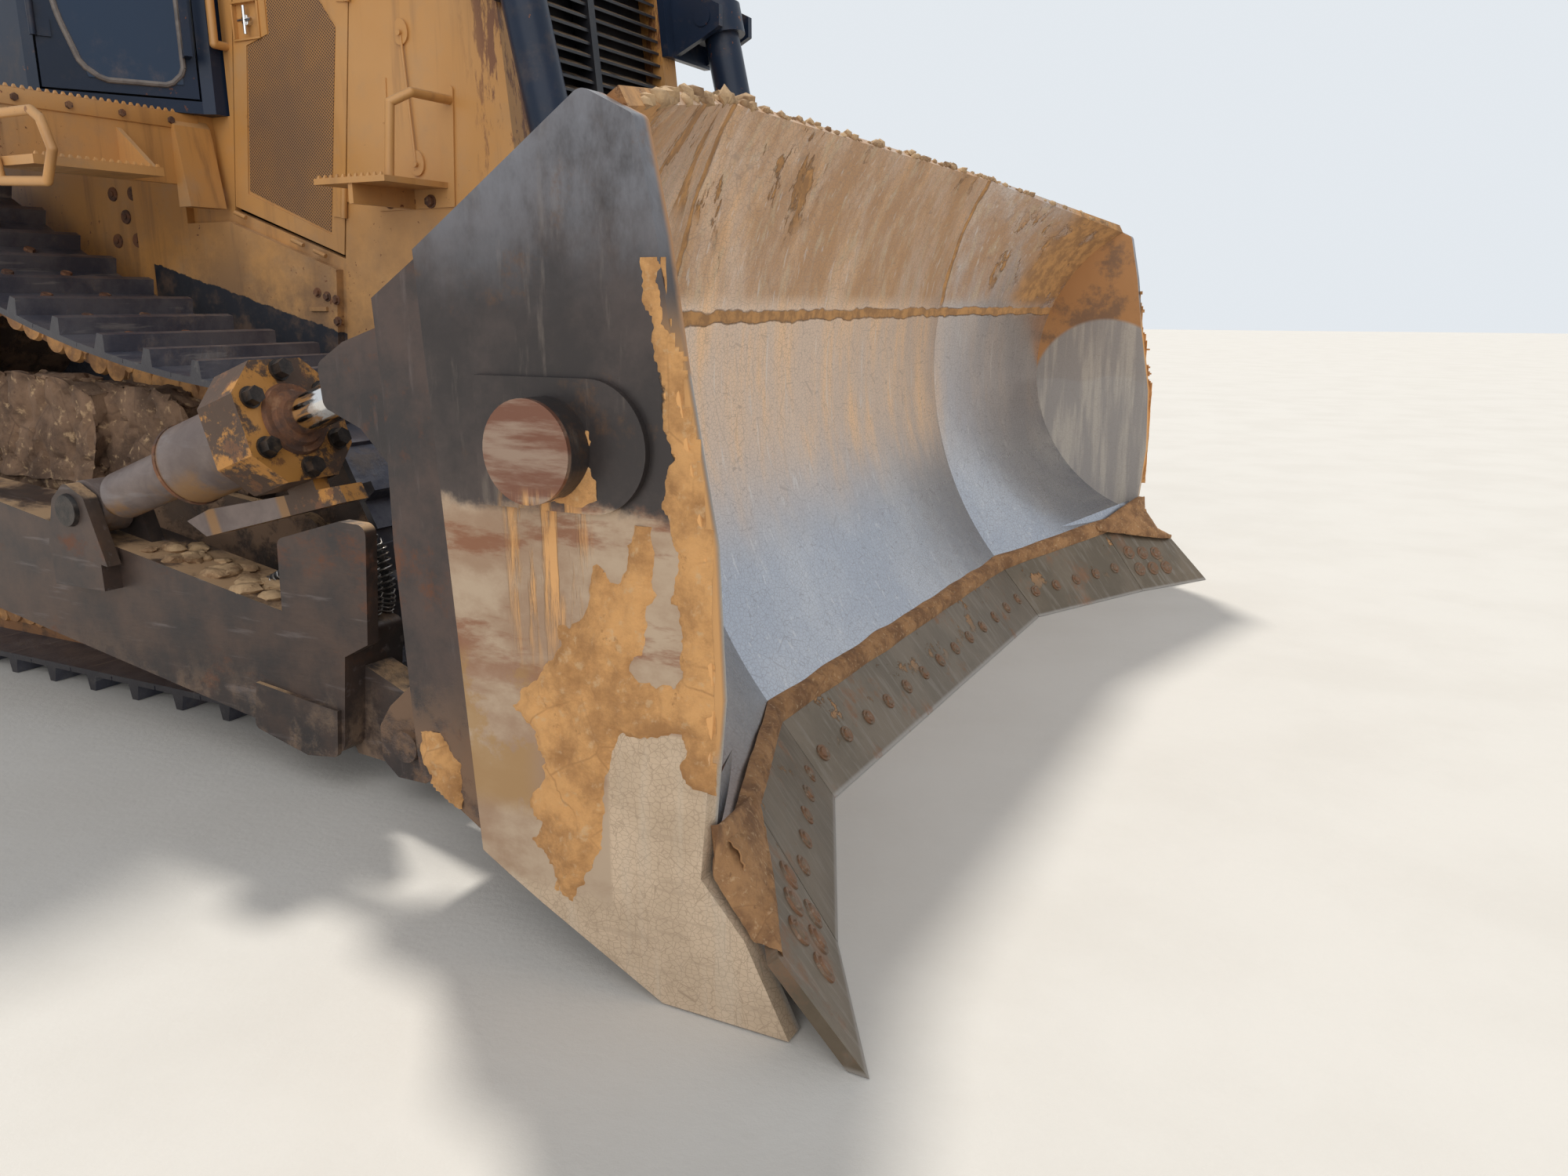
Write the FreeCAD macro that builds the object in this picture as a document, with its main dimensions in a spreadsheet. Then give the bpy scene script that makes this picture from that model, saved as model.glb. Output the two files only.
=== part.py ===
import FreeCAD, Part
import Sketcher
import math
import os

# Elevated-sprocket bulldozer with a semi-U blade.
# Millimetres. +X forward, +Y to the machine's left, +Z up, ground at Z = 0.
# The right-hand side (negative Y) is modelled and mirrored to the left.

V = FreeCAD.Vector
NODE_FOLDER = "parts"
SMALLEST_CELL = 1e-9

os.makedirs(NODE_FOLDER, exist_ok=True)
doc = FreeCAD.newDocument("bulldozer")

# Driving dimensions: name, value, meaning
SIZES = [
    # Undercarriage
    ("shoe_count", 43, "shoes in one track"),
    ("track_gauge", 2250, "between the track centre planes"),
    ("shoe_width", 686, "track shoe across"),
    ("shoe_thick", 22, "track shoe plate"),
    ("shoe_gap", 6, "gap between neighbouring shoes"),
    ("grouser_high", 55, "worn grouser above its shoe"),
    ("grouser_thick", 30, "grouser bar at its tip"),
    ("pin_line", 142, "track pins above the ground"),
    ("rail_inside", 62, "link rail inside the pin line"),
    ("rail_near", 80, "link rail inner side from the track centre plane"),
    ("rail_wide", 60, "link rail across"),
    ("idler_pitch_r", 450, "pin circle of an idler"),
    ("idler_front", 1075, "front idler centre, forward"),
    ("idler_rear", -2399, "rear idler centre, forward"),
    ("sprocket_pitch_r", 515, "pin circle of the sprocket"),
    ("sprocket_at", -1449, "sprocket centre, forward"),
    ("sprocket_high", 1330, "sprocket centre above the ground"),
    ("sprocket_wide", 80, "sprocket segment across"),
    ("sprocket_teeth", 27, "teeth round the sprocket"),
    ("tooth_root_r", 462, "sprocket radius between teeth"),
    ("tooth_tip_r", 512, "sprocket radius at the tips"),
    ("sag_r", 5000, "bend of the slack upper run"),
    ("roller_count", 8, "track rollers in one frame"),
    ("roller_r", 115, "track roller tread"),
    ("roller_first", -1870, "rearmost roller, forward"),
    ("roller_step", 344, "from roller to roller"),
    ("roller_shaft_r", 35, "roller and idler shaft"),
    ("frame_near", 150, "track frame cheek from the track centre plane"),
    ("cheek_thick", 40, "track frame cheek"),
    ("cheek_low", 300, "lower edge of a cheek"),
    ("frame_top", 760, "top of the track frame"),
    ("frame_low", 450, "underside of the track frame box"),
    ("frame_end_gap", 40, "idler to the track frame box"),
    ("seat_gap", 0.3, "rest gap under rollers and idlers"),
    ("pin_play", 0.05, "radial play of a hinge pin"),
    ("side_play", 10, "side gap beside a hinge eye"),
    # Hull
    ("hull_half", 537, "outside of the hull, from the centre plane"),
    ("hull_plate", 30, "hull side plate"),
    ("hull_front", 1480, "front of the hull"),
    ("hull_rear", -2300, "rear of the hull"),
    ("belly_low", 596, "ground clearance"),
    ("belly_plate", 24, "belly guard plate"),
    ("hull_top", 1500, "top of the hull beside the engine"),
    ("hull_top_rear", 1650, "top of the hull over the rear case"),
    ("case_front", -1000, "front of the rear case"),
    ("final_r", 300, "final drive housing radius"),
    ("hub_r", 250, "sprocket hub radius"),
    ("hub_out", 1390, "outside of the final drive, from the centre plane"),
    ("pivot_at", -800, "pivot shaft, forward"),
    ("pivot_high", 640, "pivot shaft above the ground"),
    ("pivot_r", 110, "pivot shaft radius"),
    ("bar_at", 925, "equalizer bar rear face, forward"),
    ("bar_wide", 150, "equalizer bar, front to rear"),
    ("bar_low", 600, "underside of the equalizer bar"),
    ("bar_high", 110, "equalizer bar, upright"),
    # Engine enclosure and radiator guard
    ("guard_half", 567, "outside of the radiator guard"),
    ("guard_low", 1100, "lower edge of the guard sides"),
    ("guard_top", 2700, "top of the guard"),
    ("guard_foot", 1518, "guard front edge at its foot, forward"),
    ("guard_brow", 1364, "guard front edge at its top, forward"),
    ("guard_rear_foot", 560, "guard rear edge at its foot, forward"),
    ("seam_low_x", 600, "door seam at the door's lower corner, forward"),
    ("seam_low_z", 1545, "door seam at the door's lower corner, up"),
    ("seam_top_x", 761, "door seam at the top, forward"),
    ("door_rear_x", 14, "rear lower corner of the engine door, forward"),
    ("door_rear_z", 1742, "rear lower corner of the engine door, up"),
    ("door_rear_top", 142, "rear upper corner of the engine door, forward"),
    ("door_gap", 6, "gap round an engine door"),
    ("door_heel", 9, "more room under an engine door"),
    ("knuckle_r", 12, "hinge knuckle"),
    ("door_thick", 28, "engine door"),
    ("hood_rear", 40, "rear of the hood, forward"),
    ("hood_thick", 60, "hood, upright"),
    ("grille_half", 468, "grille opening from the centre plane"),
    ("grille_low", 1180, "grille opening, lower edge"),
    ("grille_high", 2600, "grille opening, upper edge"),
    ("slat_count", 22, "grille louvres"),
    ("slat_thick", 10, "one louvre"),
    ("core_thick", 80, "radiator core"),
    ("core_half", 520, "radiator core, half width"),
    ("cleaner_x", 420, "air cleaner, forward"),
    ("cleaner_y", 210, "air cleaner to the right of the centre plane"),
    ("cleaner_neck_r", 95, "air cleaner neck radius"),
    ("cleaner_neck", 490, "air cleaner neck, upright"),
    ("cleaner_bowl_r", 170, "air cleaner bowl radius"),
    ("cleaner_bowl", 170, "air cleaner bowl, upright"),
    ("cleaner_cap_r", 110, "air cleaner cap radius"),
    ("cleaner_cap", 60, "air cleaner cap, upright"),
    ("muffler_x", 430, "muffler, forward"),
    ("muffler_y", 220, "muffler to the left of the centre plane"),
    ("muffler_r", 150, "muffler radius"),
    ("muffler_high", 290, "muffler, upright"),
    ("stack_r", 75, "exhaust stack radius"),
    ("stack_high", 550, "exhaust stack above the muffler"),
    # Platform, cab and roll-over frame
    ("deck_top", 2095, "platform above the ground"),
    ("deck_plate", 25, "platform plate"),
    ("deck_front", -60, "platform front edge, forward"),
    ("deck_rear", -1880, "platform rear edge, forward"),
    ("step_top", 1860, "front step above the ground"),
    ("step_out", 150, "front step front edge, forward"),
    ("cab_wall", 60, "cab wall"),
    ("cab_front", 30, "cab front wall, forward"),
    ("cab_rear", -1800, "cab rear wall, forward"),
    ("cab_nose_half", 620, "cab front wall, half width"),
    ("cab_post_x", -280, "outer edge of the cab door, forward"),
    ("cab_turn_x", -1650, "rear end of the cab sides, forward"),
    ("cab_turn_half", 950, "half width of the cab there"),
    ("windshield_rise", 670, "sill of the windshield above the floor"),
    ("cab_door_gap", 8, "gap round a cab door"),
    ("cab_door_thick", 45, "cab door"),
    ("cab_half", 1110, "cab at the door's outer edge, half width"),
    ("cab_rear_half", 700, "cab at the rear, half width"),
    ("floor_pan", 45, "cab floor pan"),
    ("cab_height", 1190, "from the cab floor to the roof"),
    ("roof_thick", 90, "cab roof"),
    ("sill_rise", 480, "side and rear window sills above the floor"),
    ("head_rail", 70, "from the heads of the windows to the roof"),
    ("glass", 8, "window glass"),
    ("post_clear", 26.552, "from the cab's side wall out to a roll-over post"),
    ("post_wide", 140, "roll-over post across"),
    ("post_rear", -1500, "roll-over post, rear face"),
    ("post_deep", 200, "roll-over post, front to rear"),
    ("canopy_front", -150, "canopy front edge, forward"),
    ("canopy_rear", -1950, "canopy rear edge, forward"),
    ("rail_tube", 16, "radius of grab rails"),
    ("guard_step", 1800, "step on the radiator guard, up"),
    ("canopy_gap", 410, "from the cab roof to the canopy"),
    ("canopy_thick", 120, "canopy"),
    ("lamp_half", 80, "work lamp, half width"),
    ("lamp_deep", 80, "work lamp housing, front to rear"),
    ("lamp_r", 42, "work lamp lens"),
    ("tank_front", -1900, "fuel tank front, forward"),
    ("tank_rear", -2560, "fuel tank rear, forward"),
    ("tank_half", 650, "fuel tank half width"),
    ("tank_high", 2700, "top of the fuel tank"),
    ("drawbar_end", -3500, "rear end of the drawbar"),
    ("drawbar_z", 727, "drawbar above the ground"),
    ("drawbar_thick", 100, "drawbar, upright"),
    ("drawbar_pin_x", -3385, "drawbar pin hole, forward"),
    ("drawbar_pin_r", 45, "drawbar pin hole radius"),
    # Push arms
    ("arm_clear", 47, "from the track shoes out to the push arm"),
    ("arm_wide", 220, "push arm across"),
    ("arm_wall", 40, "thickness of the arm's front shield"),
    ("arm_shoe", 14, "wear plate on the arm's lower front corner"),
    ("trunnion_x", -660, "push arm trunnion, forward"),
    ("trunnion_z", 640, "push arm trunnion, up"),
    ("trunnion_r", 90, "push arm trunnion radius"),
    ("boss_r", 130, "trunnion boss radius"),
    ("foot_x", 1900, "lower blade pin, forward"),
    ("foot_z", 190, "lower blade pin, up"),
    ("foot_r", 45, "lower blade pin radius"),
    ("foot_eye_r", 105, "eye of the arm at the lower blade pin"),
    ("foot_eye_in", 95, "eye of the arm from the arm's inner face"),
    ("foot_eye_wide", 100, "thickness of that eye"),
    ("ear_thick", 45, "one ear of a blade bracket"),
    # Tilt cylinders
    ("tilt_base_x", 646, "tilt cylinder base pin, forward"),
    ("tilt_base_z", 764, "tilt cylinder base pin, up"),
    ("tilt_eye_x", 1863, "tilt cylinder rod pin, forward"),
    ("tilt_eye_z", 1182, "tilt cylinder rod pin, up"),
    ("tilt_in", 175, "tilt cylinder from the arm's inner face"),
    ("tilt_pin_r", 40, "tilt cylinder pins"),
    ("tilt_eye_r", 85, "tilt cylinder eyes"),
    ("tilt_eye_wide", 100, "tilt cylinder eyes across"),
    ("tilt_neck_r", 74, "slim rear tube"),
    ("tilt_neck_end", 480, "end of the slim tube from the base pin"),
    ("tilt_tube_r", 119, "main tube"),
    ("tilt_tube_end", 800, "end of the main tube from the base pin"),
    ("tilt_head", 150, "length of the bolted head"),
    ("tilt_head_half", 170, "half width of the bolted head"),
    ("tilt_head_cut", 85, "cut corner of the bolted head"),
    ("tilt_rod_r", 53, "tilt rod radius"),
    # Lift cylinders
    ("lift_y", 670, "lift cylinder from the centre plane"),
    ("lift_top_x", 1553, "lift cylinder trunnion, forward"),
    ("lift_top_z", 2520, "lift cylinder trunnion, up"),
    ("lift_eye_x", 1968, "lift rod eye, forward"),
    ("lift_eye_z", 650, "lift rod eye, up"),
    ("lift_tube_r", 73, "lift cylinder tube"),
    ("lift_rod_r", 40, "lift rod"),
    ("lift_below", 720, "tube below its trunnion"),
    ("lift_above", 960, "tube above its trunnion"),
    ("lift_bore_r", 60, "bore of the lift cylinder"),
    ("lift_collar_r", 100, "collar of the lift trunnion"),
    ("lift_pin_out", 145, "lift trunnion pins from the cylinder's axis"),
    ("lift_rod_long", 1790, "rod from its eye to the piston's far face"),
    ("lift_eye_r", 82, "lift rod eye"),
    ("lift_eye_wide", 90, "lift rod eye across"),
    ("lift_pin_r", 38, "lift cylinder pins"),
    # Blade
    ("fold_y", 1115, "fold between centre and wing, from the centre plane"),
    ("end_y", 2150, "inside of the end plates"),
    ("blade_low", 223, "lower edge of the moldboard"),
    ("blade_low_x", 2739, "lower edge at the fold, forward"),
    ("blade_mid_x", 2407, "deepest point at the fold, forward"),
    ("blade_mid_z", 1344, "deepest point at the fold, up"),
    ("blade_top_x", 2615, "top edge at the fold, forward"),
    ("blade_top_z", 1886, "top edge at the fold, up"),
    ("wing_low_x", 3180, "lower edge at the end plate, forward"),
    ("wing_low", 328, "lower edge at the end plate, up"),
    ("end_tip_x", 3406, "cutting edge line at the end plate, forward"),
    ("wing_mid_x", 2588, "deepest point at the end plate, forward"),
    ("wing_mid_z", 1127, "deepest point at the end plate, up"),
    ("wing_top_x", 2981, "top edge at the end plate, forward"),
    ("wing_top_z", 1716, "top edge at the end plate, up"),
    ("skin", 40, "moldboard plate"),
    ("end_plate", 50, "blade end plate"),
    ("rear_plate_y", 1960, "inner rear plate from the centre plane"),
    ("rear_plate", 60, "inner rear plate"),
    ("edge_tip_x", 2926, "cutting edge at the fold, forward"),
    ("edge_thick", 32, "cutting edge"),
    ("edge_gap", 3, "gap between neighbouring cutting edges"),
    ("joint_y", 1825, "joint of the cutting edge with the end bit"),
    ("joint_x", 3253, "cutting edge at that joint, forward"),
    ("bit_x", 3500, "tip of the end bit, forward"),
    ("bit_y", 2228, "tip of the end bit from the centre plane"),
    ("bit_top_x", 3310, "upper outer corner of the end bit, forward"),
    ("bit_top", 199, "upper outer corner of the end bit, up"),
    ("stub_x", 2820, "round stub, forward"),
    ("stub_z", 1118, "round stub, up"),
    ("stub_r", 98, "round stub radius"),
    ("pad_r", 125, "half height of the stub's pad"),
    ("pad_thick", 15, "pad beyond the end plate"),
    ("stub_proud", 80, "round stub beyond the end plate"),
]


class Size:
    """A number together with the sheet expression that gives it."""

    def __init__(self, value, text):
        self.value = float(value)
        self.text = text

    def __add__(self, other):
        other = as_size(other)
        return Size(self.value + other.value, f"({self.text} + {other.text})")

    def __sub__(self, other):
        other = as_size(other)
        return Size(self.value - other.value, f"({self.text} - {other.text})")

    def __mul__(self, other):
        other = as_size(other)
        return Size(self.value * other.value, f"({self.text} * {other.text})")

    def __truediv__(self, other):
        other = as_size(other)
        return Size(self.value / other.value, f"({self.text} / {other.text})")

    def __radd__(self, other):
        return as_size(other) + self

    def __rsub__(self, other):
        return as_size(other) - self

    def __rmul__(self, other):
        return as_size(other) * self

    def __neg__(self):
        return Size(-self.value, f"(0 - {self.text})")

    def __float__(self):
        return self.value


def as_size(value):
    """A plain number as a Size."""
    if isinstance(value, Size):
        return value
    return Size(value, f"({value!r})")


def square_root(value):
    """Square root of a Size."""
    return Size(math.sqrt(value.value), f"sqrt({value.text})")


def distance(across, up):
    """Length of the line that goes so far across and so far up."""
    return square_root(across * across + up * up)


def angle_of(up, across):
    """Angle in degrees of that line above the horizontal."""
    value = math.degrees(math.atan2(float(up), float(across)))
    return Size(value, f"(atan2({up.text}; {across.text}) / 1 deg)")


def write_cell(number, name, value):
    """Put one named value in the sheet."""
    cell = f"A{number}"
    dims.set(cell, str(value))
    dims.setAlias(cell, name)
    return Size(value, f"dims.{name}")


class Names:
    """The named sizes as attributes."""


dims = doc.addObject("Spreadsheet::Sheet", "dims")
D = Names()
for row, (size_name, size_value, meaning) in enumerate(SIZES, start=1):
    setattr(D, size_name, write_cell(row, size_name, size_value))
doc.recompute()

# Places that follow from those sizes
D.arm_near = D.track_gauge / 2 + D.shoe_width / 2 + D.arm_clear
D.foot_eye_y = D.arm_near + D.foot_eye_in
D.tilt_y = D.arm_near + D.tilt_in
D.cab_floor = D.deck_top + D.floor_pan
D.cab_eave = D.cab_floor + D.cab_height
D.cab_roof = D.cab_eave + D.roof_thick
D.sill_high = D.cab_floor + D.sill_rise
D.windshield_low = D.cab_floor + D.windshield_rise
D.head_high = D.cab_eave - D.head_rail
D.canopy_low = D.cab_roof + D.canopy_gap
D.canopy_high = D.canopy_low + D.canopy_thick
D.stub_out = D.end_y + D.end_plate + D.stub_proud

nodes = []


def drive(thing, prop, size):
    """Bind a property to the sheet, or set it where the value is a constant."""
    size = as_size(size)
    if "dims." in size.text:
        thing.setExpression(prop, size.text)


def put(thing, x=0, y=0, z=0, turn=None):
    """Place a piece, with its position bound to the sheet."""
    x, y, z = as_size(x), as_size(y), as_size(z)
    rotation = turn if turn else FreeCAD.Rotation()
    thing.Placement = FreeCAD.Placement(V(x.value, y.value, z.value), rotation)
    for axis, size in (("x", x), ("y", y), ("z", z)):
        drive(thing, f"Placement.Base.{axis}", size)
    return thing


def box(x, y, z):
    """A block between the low and high values of x, y and z."""
    block = doc.addObject("Part::Box", "Block")
    for prop, (low, high) in (("Length", x), ("Width", y), ("Height", z)):
        span = as_size(high) - low
        setattr(block, prop, span.value)
        drive(block, prop, span)
    return put(block, x[0], y[0], z[0])


TURNS = {
    "X": FreeCAD.Rotation(V(0, 1, 0), 90),
    "Y": FreeCAD.Rotation(V(1, 0, 0), -90),
    "Z": FreeCAD.Rotation(),
}


def rod(along, radius, low, high, a, b):
    """A cylinder along an axis from low to high, centred at a and b on the other two."""
    bar = doc.addObject("Part::Cylinder", "Rod")
    length = as_size(high) - low
    bar.Radius = float(radius)
    bar.Height = length.value
    drive(bar, "Radius", radius)
    drive(bar, "Height", length)
    spot = {"X": (low, a, b), "Y": (a, low, b), "Z": (a, b, low)}[along]
    return put(bar, *spot, turn=TURNS[along])


def fuse(*pieces):
    """Pieces welded into one solid."""
    weld = doc.addObject("Part::MultiFuse", "Weld")
    weld.Shapes = list(pieces)
    weld.Refine = True
    return weld


def cut(base, *tools):
    """A piece with material taken away."""
    tool = tools[0] if len(tools) == 1 else fuse(*tools)
    rest = doc.addObject("Part::Cut", "Rest")
    rest.Base = base
    rest.Tool = tool
    rest.Refine = True
    return rest


def group(*pieces):
    """Separate solids that one node holds."""
    kit = doc.addObject("Part::Compound", "Kit")
    kit.Links = list(pieces)
    return kit


def mirror(piece):
    """The same piece on the machine's other side."""
    twin = doc.addObject("Part::Mirroring", "Twin")
    twin.Source = piece
    twin.Normal = V(0, 1, 0)
    twin.Base = V(0, 0, 0)
    return twin


def origin_plane(body, role):
    """One of a body's own origin planes."""
    for feature in body.Origin.OriginFeatures:
        if feature.Role == role:
            return feature
    raise ValueError(role)


def outline_sketch(body, role, outline):
    """A closed outline of straight sides whose corners are bound to the sheet."""
    sketch = body.newObject("Sketcher::SketchObject", "Outline")
    sketch.AttachmentSupport = (origin_plane(body, role), "")
    sketch.MapMode = "FlatFace"
    corners = [(as_size(point[0]), as_size(point[1])) for point in outline]
    count = len(corners)
    lines = []
    for i in range(count):
        here, there = corners[i], corners[(i + 1) % count]
        start = V(here[0].value, here[1].value, 0)
        finish = V(there[0].value, there[1].value, 0)
        lines.append(Part.LineSegment(start, finish))
    sketch.addGeometry(lines, False)
    joints = [Sketcher.Constraint("Coincident", i, 2, (i + 1) % count, 1) for i in range(count)]
    sketch.addConstraint(joints)
    for i, (across, up) in enumerate(corners):
        for kind, size in (("DistanceX", across), ("DistanceY", up)):
            number = sketch.addConstraint(Sketcher.Constraint(kind, -1, 1, i, 1, size.value))
            drive(sketch, f"Constraints[{number}]", size)
    return sketch


def corner_edges(shape, role, across, up):
    """Names of the pad's edges that rise from one corner of its outline."""
    found = []
    for number, edge in enumerate(shape.Edges, start=1):
        ends = [vertex.Point for vertex in edge.Vertexes]
        if len(ends) != 2:
            continue
        pairs = {"XZ_Plane": ("x", "z"), "XY_Plane": ("x", "y"), "YZ_Plane": ("y", "z")}[role]
        near = [abs(getattr(end, pairs[0]) - across) < 0.01 and abs(getattr(end, pairs[1]) - up) < 0.01
                for end in ends]
        if all(near):
            found.append(f"Edge{number}")
    return found


def plate(role, outline, low, high):
    """A plate with the given outline between two heights; a third number rounds a corner."""
    body = doc.addObject("PartDesign::Body", "Plate")
    sketch = outline_sketch(body, role, outline)
    pad = body.newObject("PartDesign::Pad", "Pad")
    pad.Profile = sketch
    span = as_size(high) - low
    pad.Length = span.value
    drive(pad, "Length", span)
    sketch.Visibility = False
    base = {"XZ_Plane": (0, high, 0), "XY_Plane": (0, 0, low), "YZ_Plane": (low, 0, 0)}[role]
    put(body, *base)
    rounded = {}
    for point in outline:
        if len(point) > 2:
            rounded.setdefault(as_size(point[2]).text, []).append(point)
    for points in rounded.values():
        doc.recompute()
        last = body.Tip
        local = last.Shape
        names = []
        for point in points:
            names += corner_edges(local, role, float(point[0]), float(point[1]))
        fillet = body.newObject("PartDesign::Fillet", "Round")
        fillet.Base = (last, names)
        fillet.Radius = float(points[0][2])
        drive(fillet, "Radius", points[0][2])
        body.Tip = fillet
    return body


def turned(outline, axis="Z"):
    """A turned piece: an outline of (radius, height) spun round its own axis."""
    body = doc.addObject("PartDesign::Body", "Turned")
    sketch = outline_sketch(body, "XZ_Plane", outline)
    spin = body.newObject("PartDesign::Revolution", "Spin")
    spin.Profile = sketch
    spin.ReferenceAxis = (sketch, ["V_Axis"])
    spin.Angle = 360
    sketch.Visibility = False
    return body


def made(shape, label):
    """A piece whose shape is worked out from the sizes by its own function."""
    piece = doc.addObject("Part::Feature", label)
    piece.Shape = shape
    return piece


def node(label, piece):
    """Name a finished sub-part and list it for writing."""
    piece.Label = label
    nodes.append(piece)
    return piece


def both(label, piece):
    """One sub-part of two like solids, on the right and on the left."""
    node(label, group(piece, mirror(piece)))


def pair(label, piece):
    """Two sub-parts that move apart: the right-hand one and its mirror image."""
    node(f"{label}_right", piece)
    node(f"{label}_left", mirror(piece))


# Track: the path of its pins, then the loop of shoes and link rails

def track_path():
    """Stretches of the pins' path, as (length, function of the way along it)."""
    front = V(D.idler_front.value, 0, D.idler_pitch_r.value + D.pin_line.value)
    rear = V(D.idler_rear.value, 0, front.z)
    drive_wheel = V(D.sprocket_at.value, 0, D.sprocket_high.value)
    small, large, slack = D.idler_pitch_r.value, D.sprocket_pitch_r.value, D.sag_r.value
    line = drive_wheel - front
    gap = line.Length
    along = ((slack + small) ** 2 - (slack + large) ** 2 + gap ** 2) / (2 * gap)
    off = math.sqrt((slack + small) ** 2 - along ** 2)
    unit = line * (1 / gap)
    side = V(unit.z, 0, -unit.x)
    hang = front + unit * along + side * off
    if hang.z < front.z:
        hang = front + unit * along - side * off
    leave = math.atan2(hang.z - front.z, hang.x - front.x)
    meet = math.atan2(hang.z - drive_wheel.z, hang.x - drive_wheel.x)
    reach = (rear - drive_wheel).Length
    slope = math.atan2(rear.z - drive_wheel.z, rear.x - drive_wheel.x)
    normal = slope - math.acos((large - small) / reach)
    normal = normal % (2 * math.pi)

    def arc(centre, radius, start, finish):
        turn = finish - start
        return radius * abs(turn), lambda part: centre + V(
            radius * math.cos(start + turn * part), 0, radius * math.sin(start + turn * part))

    def straight(start, finish):
        return (finish - start).Length, lambda part: start + (finish - start) * part

    def on_circle(centre, radius, angle):
        return centre + V(radius * math.cos(angle), 0, radius * math.sin(angle))

    down = -math.pi / 2
    return [
        straight(on_circle(rear, small, down), on_circle(front, small, down)),
        arc(front, small, down, leave),
        arc(hang, slack, leave - math.pi, meet - math.pi),
        arc(drive_wheel, large, meet, normal),
        straight(on_circle(drive_wheel, large, normal), on_circle(rear, small, normal)),
        arc(rear, small, normal, down + 2 * math.pi),
    ]


def track_pins():
    """Pin centres, evenly spaced along the path, and the pitch."""
    stretches = track_path()
    total = sum(length for length, place in stretches)
    count = int(D.shoe_count.value)
    pitch = total / count
    pins = []
    for number in range(count):
        way = number * pitch
        for length, place in stretches:
            if way <= length:
                pins.append(place(way / length))
                break
            way -= length
    return pins, pitch


PINS, PITCH = track_pins()
D.track_pitch = write_cell(len(SIZES) + 1, "track_pitch", round(PITCH, 6))
doc.recompute()


def ring_face(outer, inner):
    """A flat ring between two closed chains of points."""
    rim = Part.makePolygon(outer + outer[:1])
    hole = Part.makePolygon(inner + inner[:1])
    return Part.Face(rim).cut(Part.Face(hole)).Faces[0]


def shoe_chain():
    """Closed chain of points round the outside of the shoes and their grousers."""
    shoe_in = D.pin_line.value - D.grouser_high.value - D.shoe_thick.value
    shoe_out = shoe_in + D.shoe_thick.value
    tip = shoe_out + D.grouser_high.value
    half_tip = D.grouser_thick.value / 2
    half_root = D.grouser_thick.value * 0.9
    reach = PITCH / 2 - D.shoe_gap.value / 2
    web = shoe_in + D.shoe_thick.value / 3
    outside = []
    count = len(PINS)
    for number in range(count):
        start, finish = PINS[number], PINS[(number + 1) % count]
        along = (finish - start).normalize()
        out = V(along.z, 0, -along.x)
        middle = (start + finish) * 0.5
        for way, height in ((-reach, web), (-reach, shoe_out), (-half_root, shoe_out), (-half_tip, tip),
                            (half_tip, tip), (half_root, shoe_out), (reach, shoe_out), (reach, web)):
            outside.append(middle + along * way + out * height)
    return outside


def corner_points(inset):
    """Where the lines of neighbouring links meet, inset from the pin line."""
    count = len(PINS)
    lines = []
    for number in range(count):
        start, finish = PINS[number], PINS[(number + 1) % count]
        along = (finish - start).normalize()
        out = V(along.z, 0, -along.x)
        lines.append((start - out * inset, along))
    meets = []
    for number in range(count):
        (a, u), (b, w) = lines[number - 1], lines[number]
        cross = u.x * w.z - u.z * w.x
        if abs(cross) < SMALLEST_CELL:
            meets.append(b)
            continue
        part = ((b.x - a.x) * w.z - (b.z - a.z) * w.x) / cross
        meets.append(a + u * part)
    return meets


def track_loop():
    """One track: a ring of shoes with grousers on two link rails, as one solid."""
    outside = shoe_chain()
    shoe_depth = D.pin_line.value - D.grouser_high.value - D.shoe_thick.value
    inner = corner_points(-shoe_depth)
    rail = corner_points(D.rail_inside.value)
    centre = -D.track_gauge.value / 2
    shoes = ring_face(outside, inner).extrude(V(0, D.shoe_width.value, 0))
    shoes.translate(V(0, centre - D.shoe_width.value / 2, 0))
    solid = shoes
    for side in (-1, 1):
        near = D.rail_near.value if side > 0 else -D.rail_near.value - D.rail_wide.value
        links = ring_face(inner, rail).extrude(V(0, D.rail_wide.value, 0))
        links.translate(V(0, centre + near, 0))
        solid = solid.fuse(links)
    return solid.removeSplitter().Solids[0]


track_y = -D.track_gauge / 2
both("tracks", made(track_loop(), "Loop"))

idler_z = D.idler_pitch_r + D.pin_line
half_step = Size(math.cos(PITCH / (2 * D.idler_pitch_r.value)),
                 "cos(dims.track_pitch / (2 * dims.idler_pitch_r) * 1 rad)")
idler_tread = D.idler_pitch_r * half_step - D.rail_inside - D.seat_gap
cheek_out = D.frame_near + D.cheek_thick


def idler(x):
    """One idler: tread, thinner web and shaft."""
    half = D.frame_near - D.seat_gap
    drum = turned([(0, -half), (D.roller_shaft_r * 2, -half), (D.roller_shaft_r * 2, -70),
                   (idler_tread - 70, -45), (idler_tread - 45, -half + 10), (idler_tread, -half + 10),
                   (idler_tread, half - 10), (idler_tread - 45, half - 10),
                   (idler_tread - 70, 45), (D.roller_shaft_r * 2, 70), (D.roller_shaft_r * 2, half),
                   (0, half)])
    return put(drum, x, track_y, idler_z, turn=TURNS["Y"])


both("idlers", group(idler(D.idler_front), idler(D.idler_rear)))

roller_z = D.pin_line + D.rail_inside + D.roller_r + D.seat_gap
half_roller = D.frame_near - D.seat_gap
rollers = [rod("Y", D.roller_r, track_y - half_roller, track_y + half_roller,
               D.roller_first + D.roller_step * number, roller_z)
           for number in range(int(D.roller_count.value))]
both("track_rollers", group(*rollers))


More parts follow.
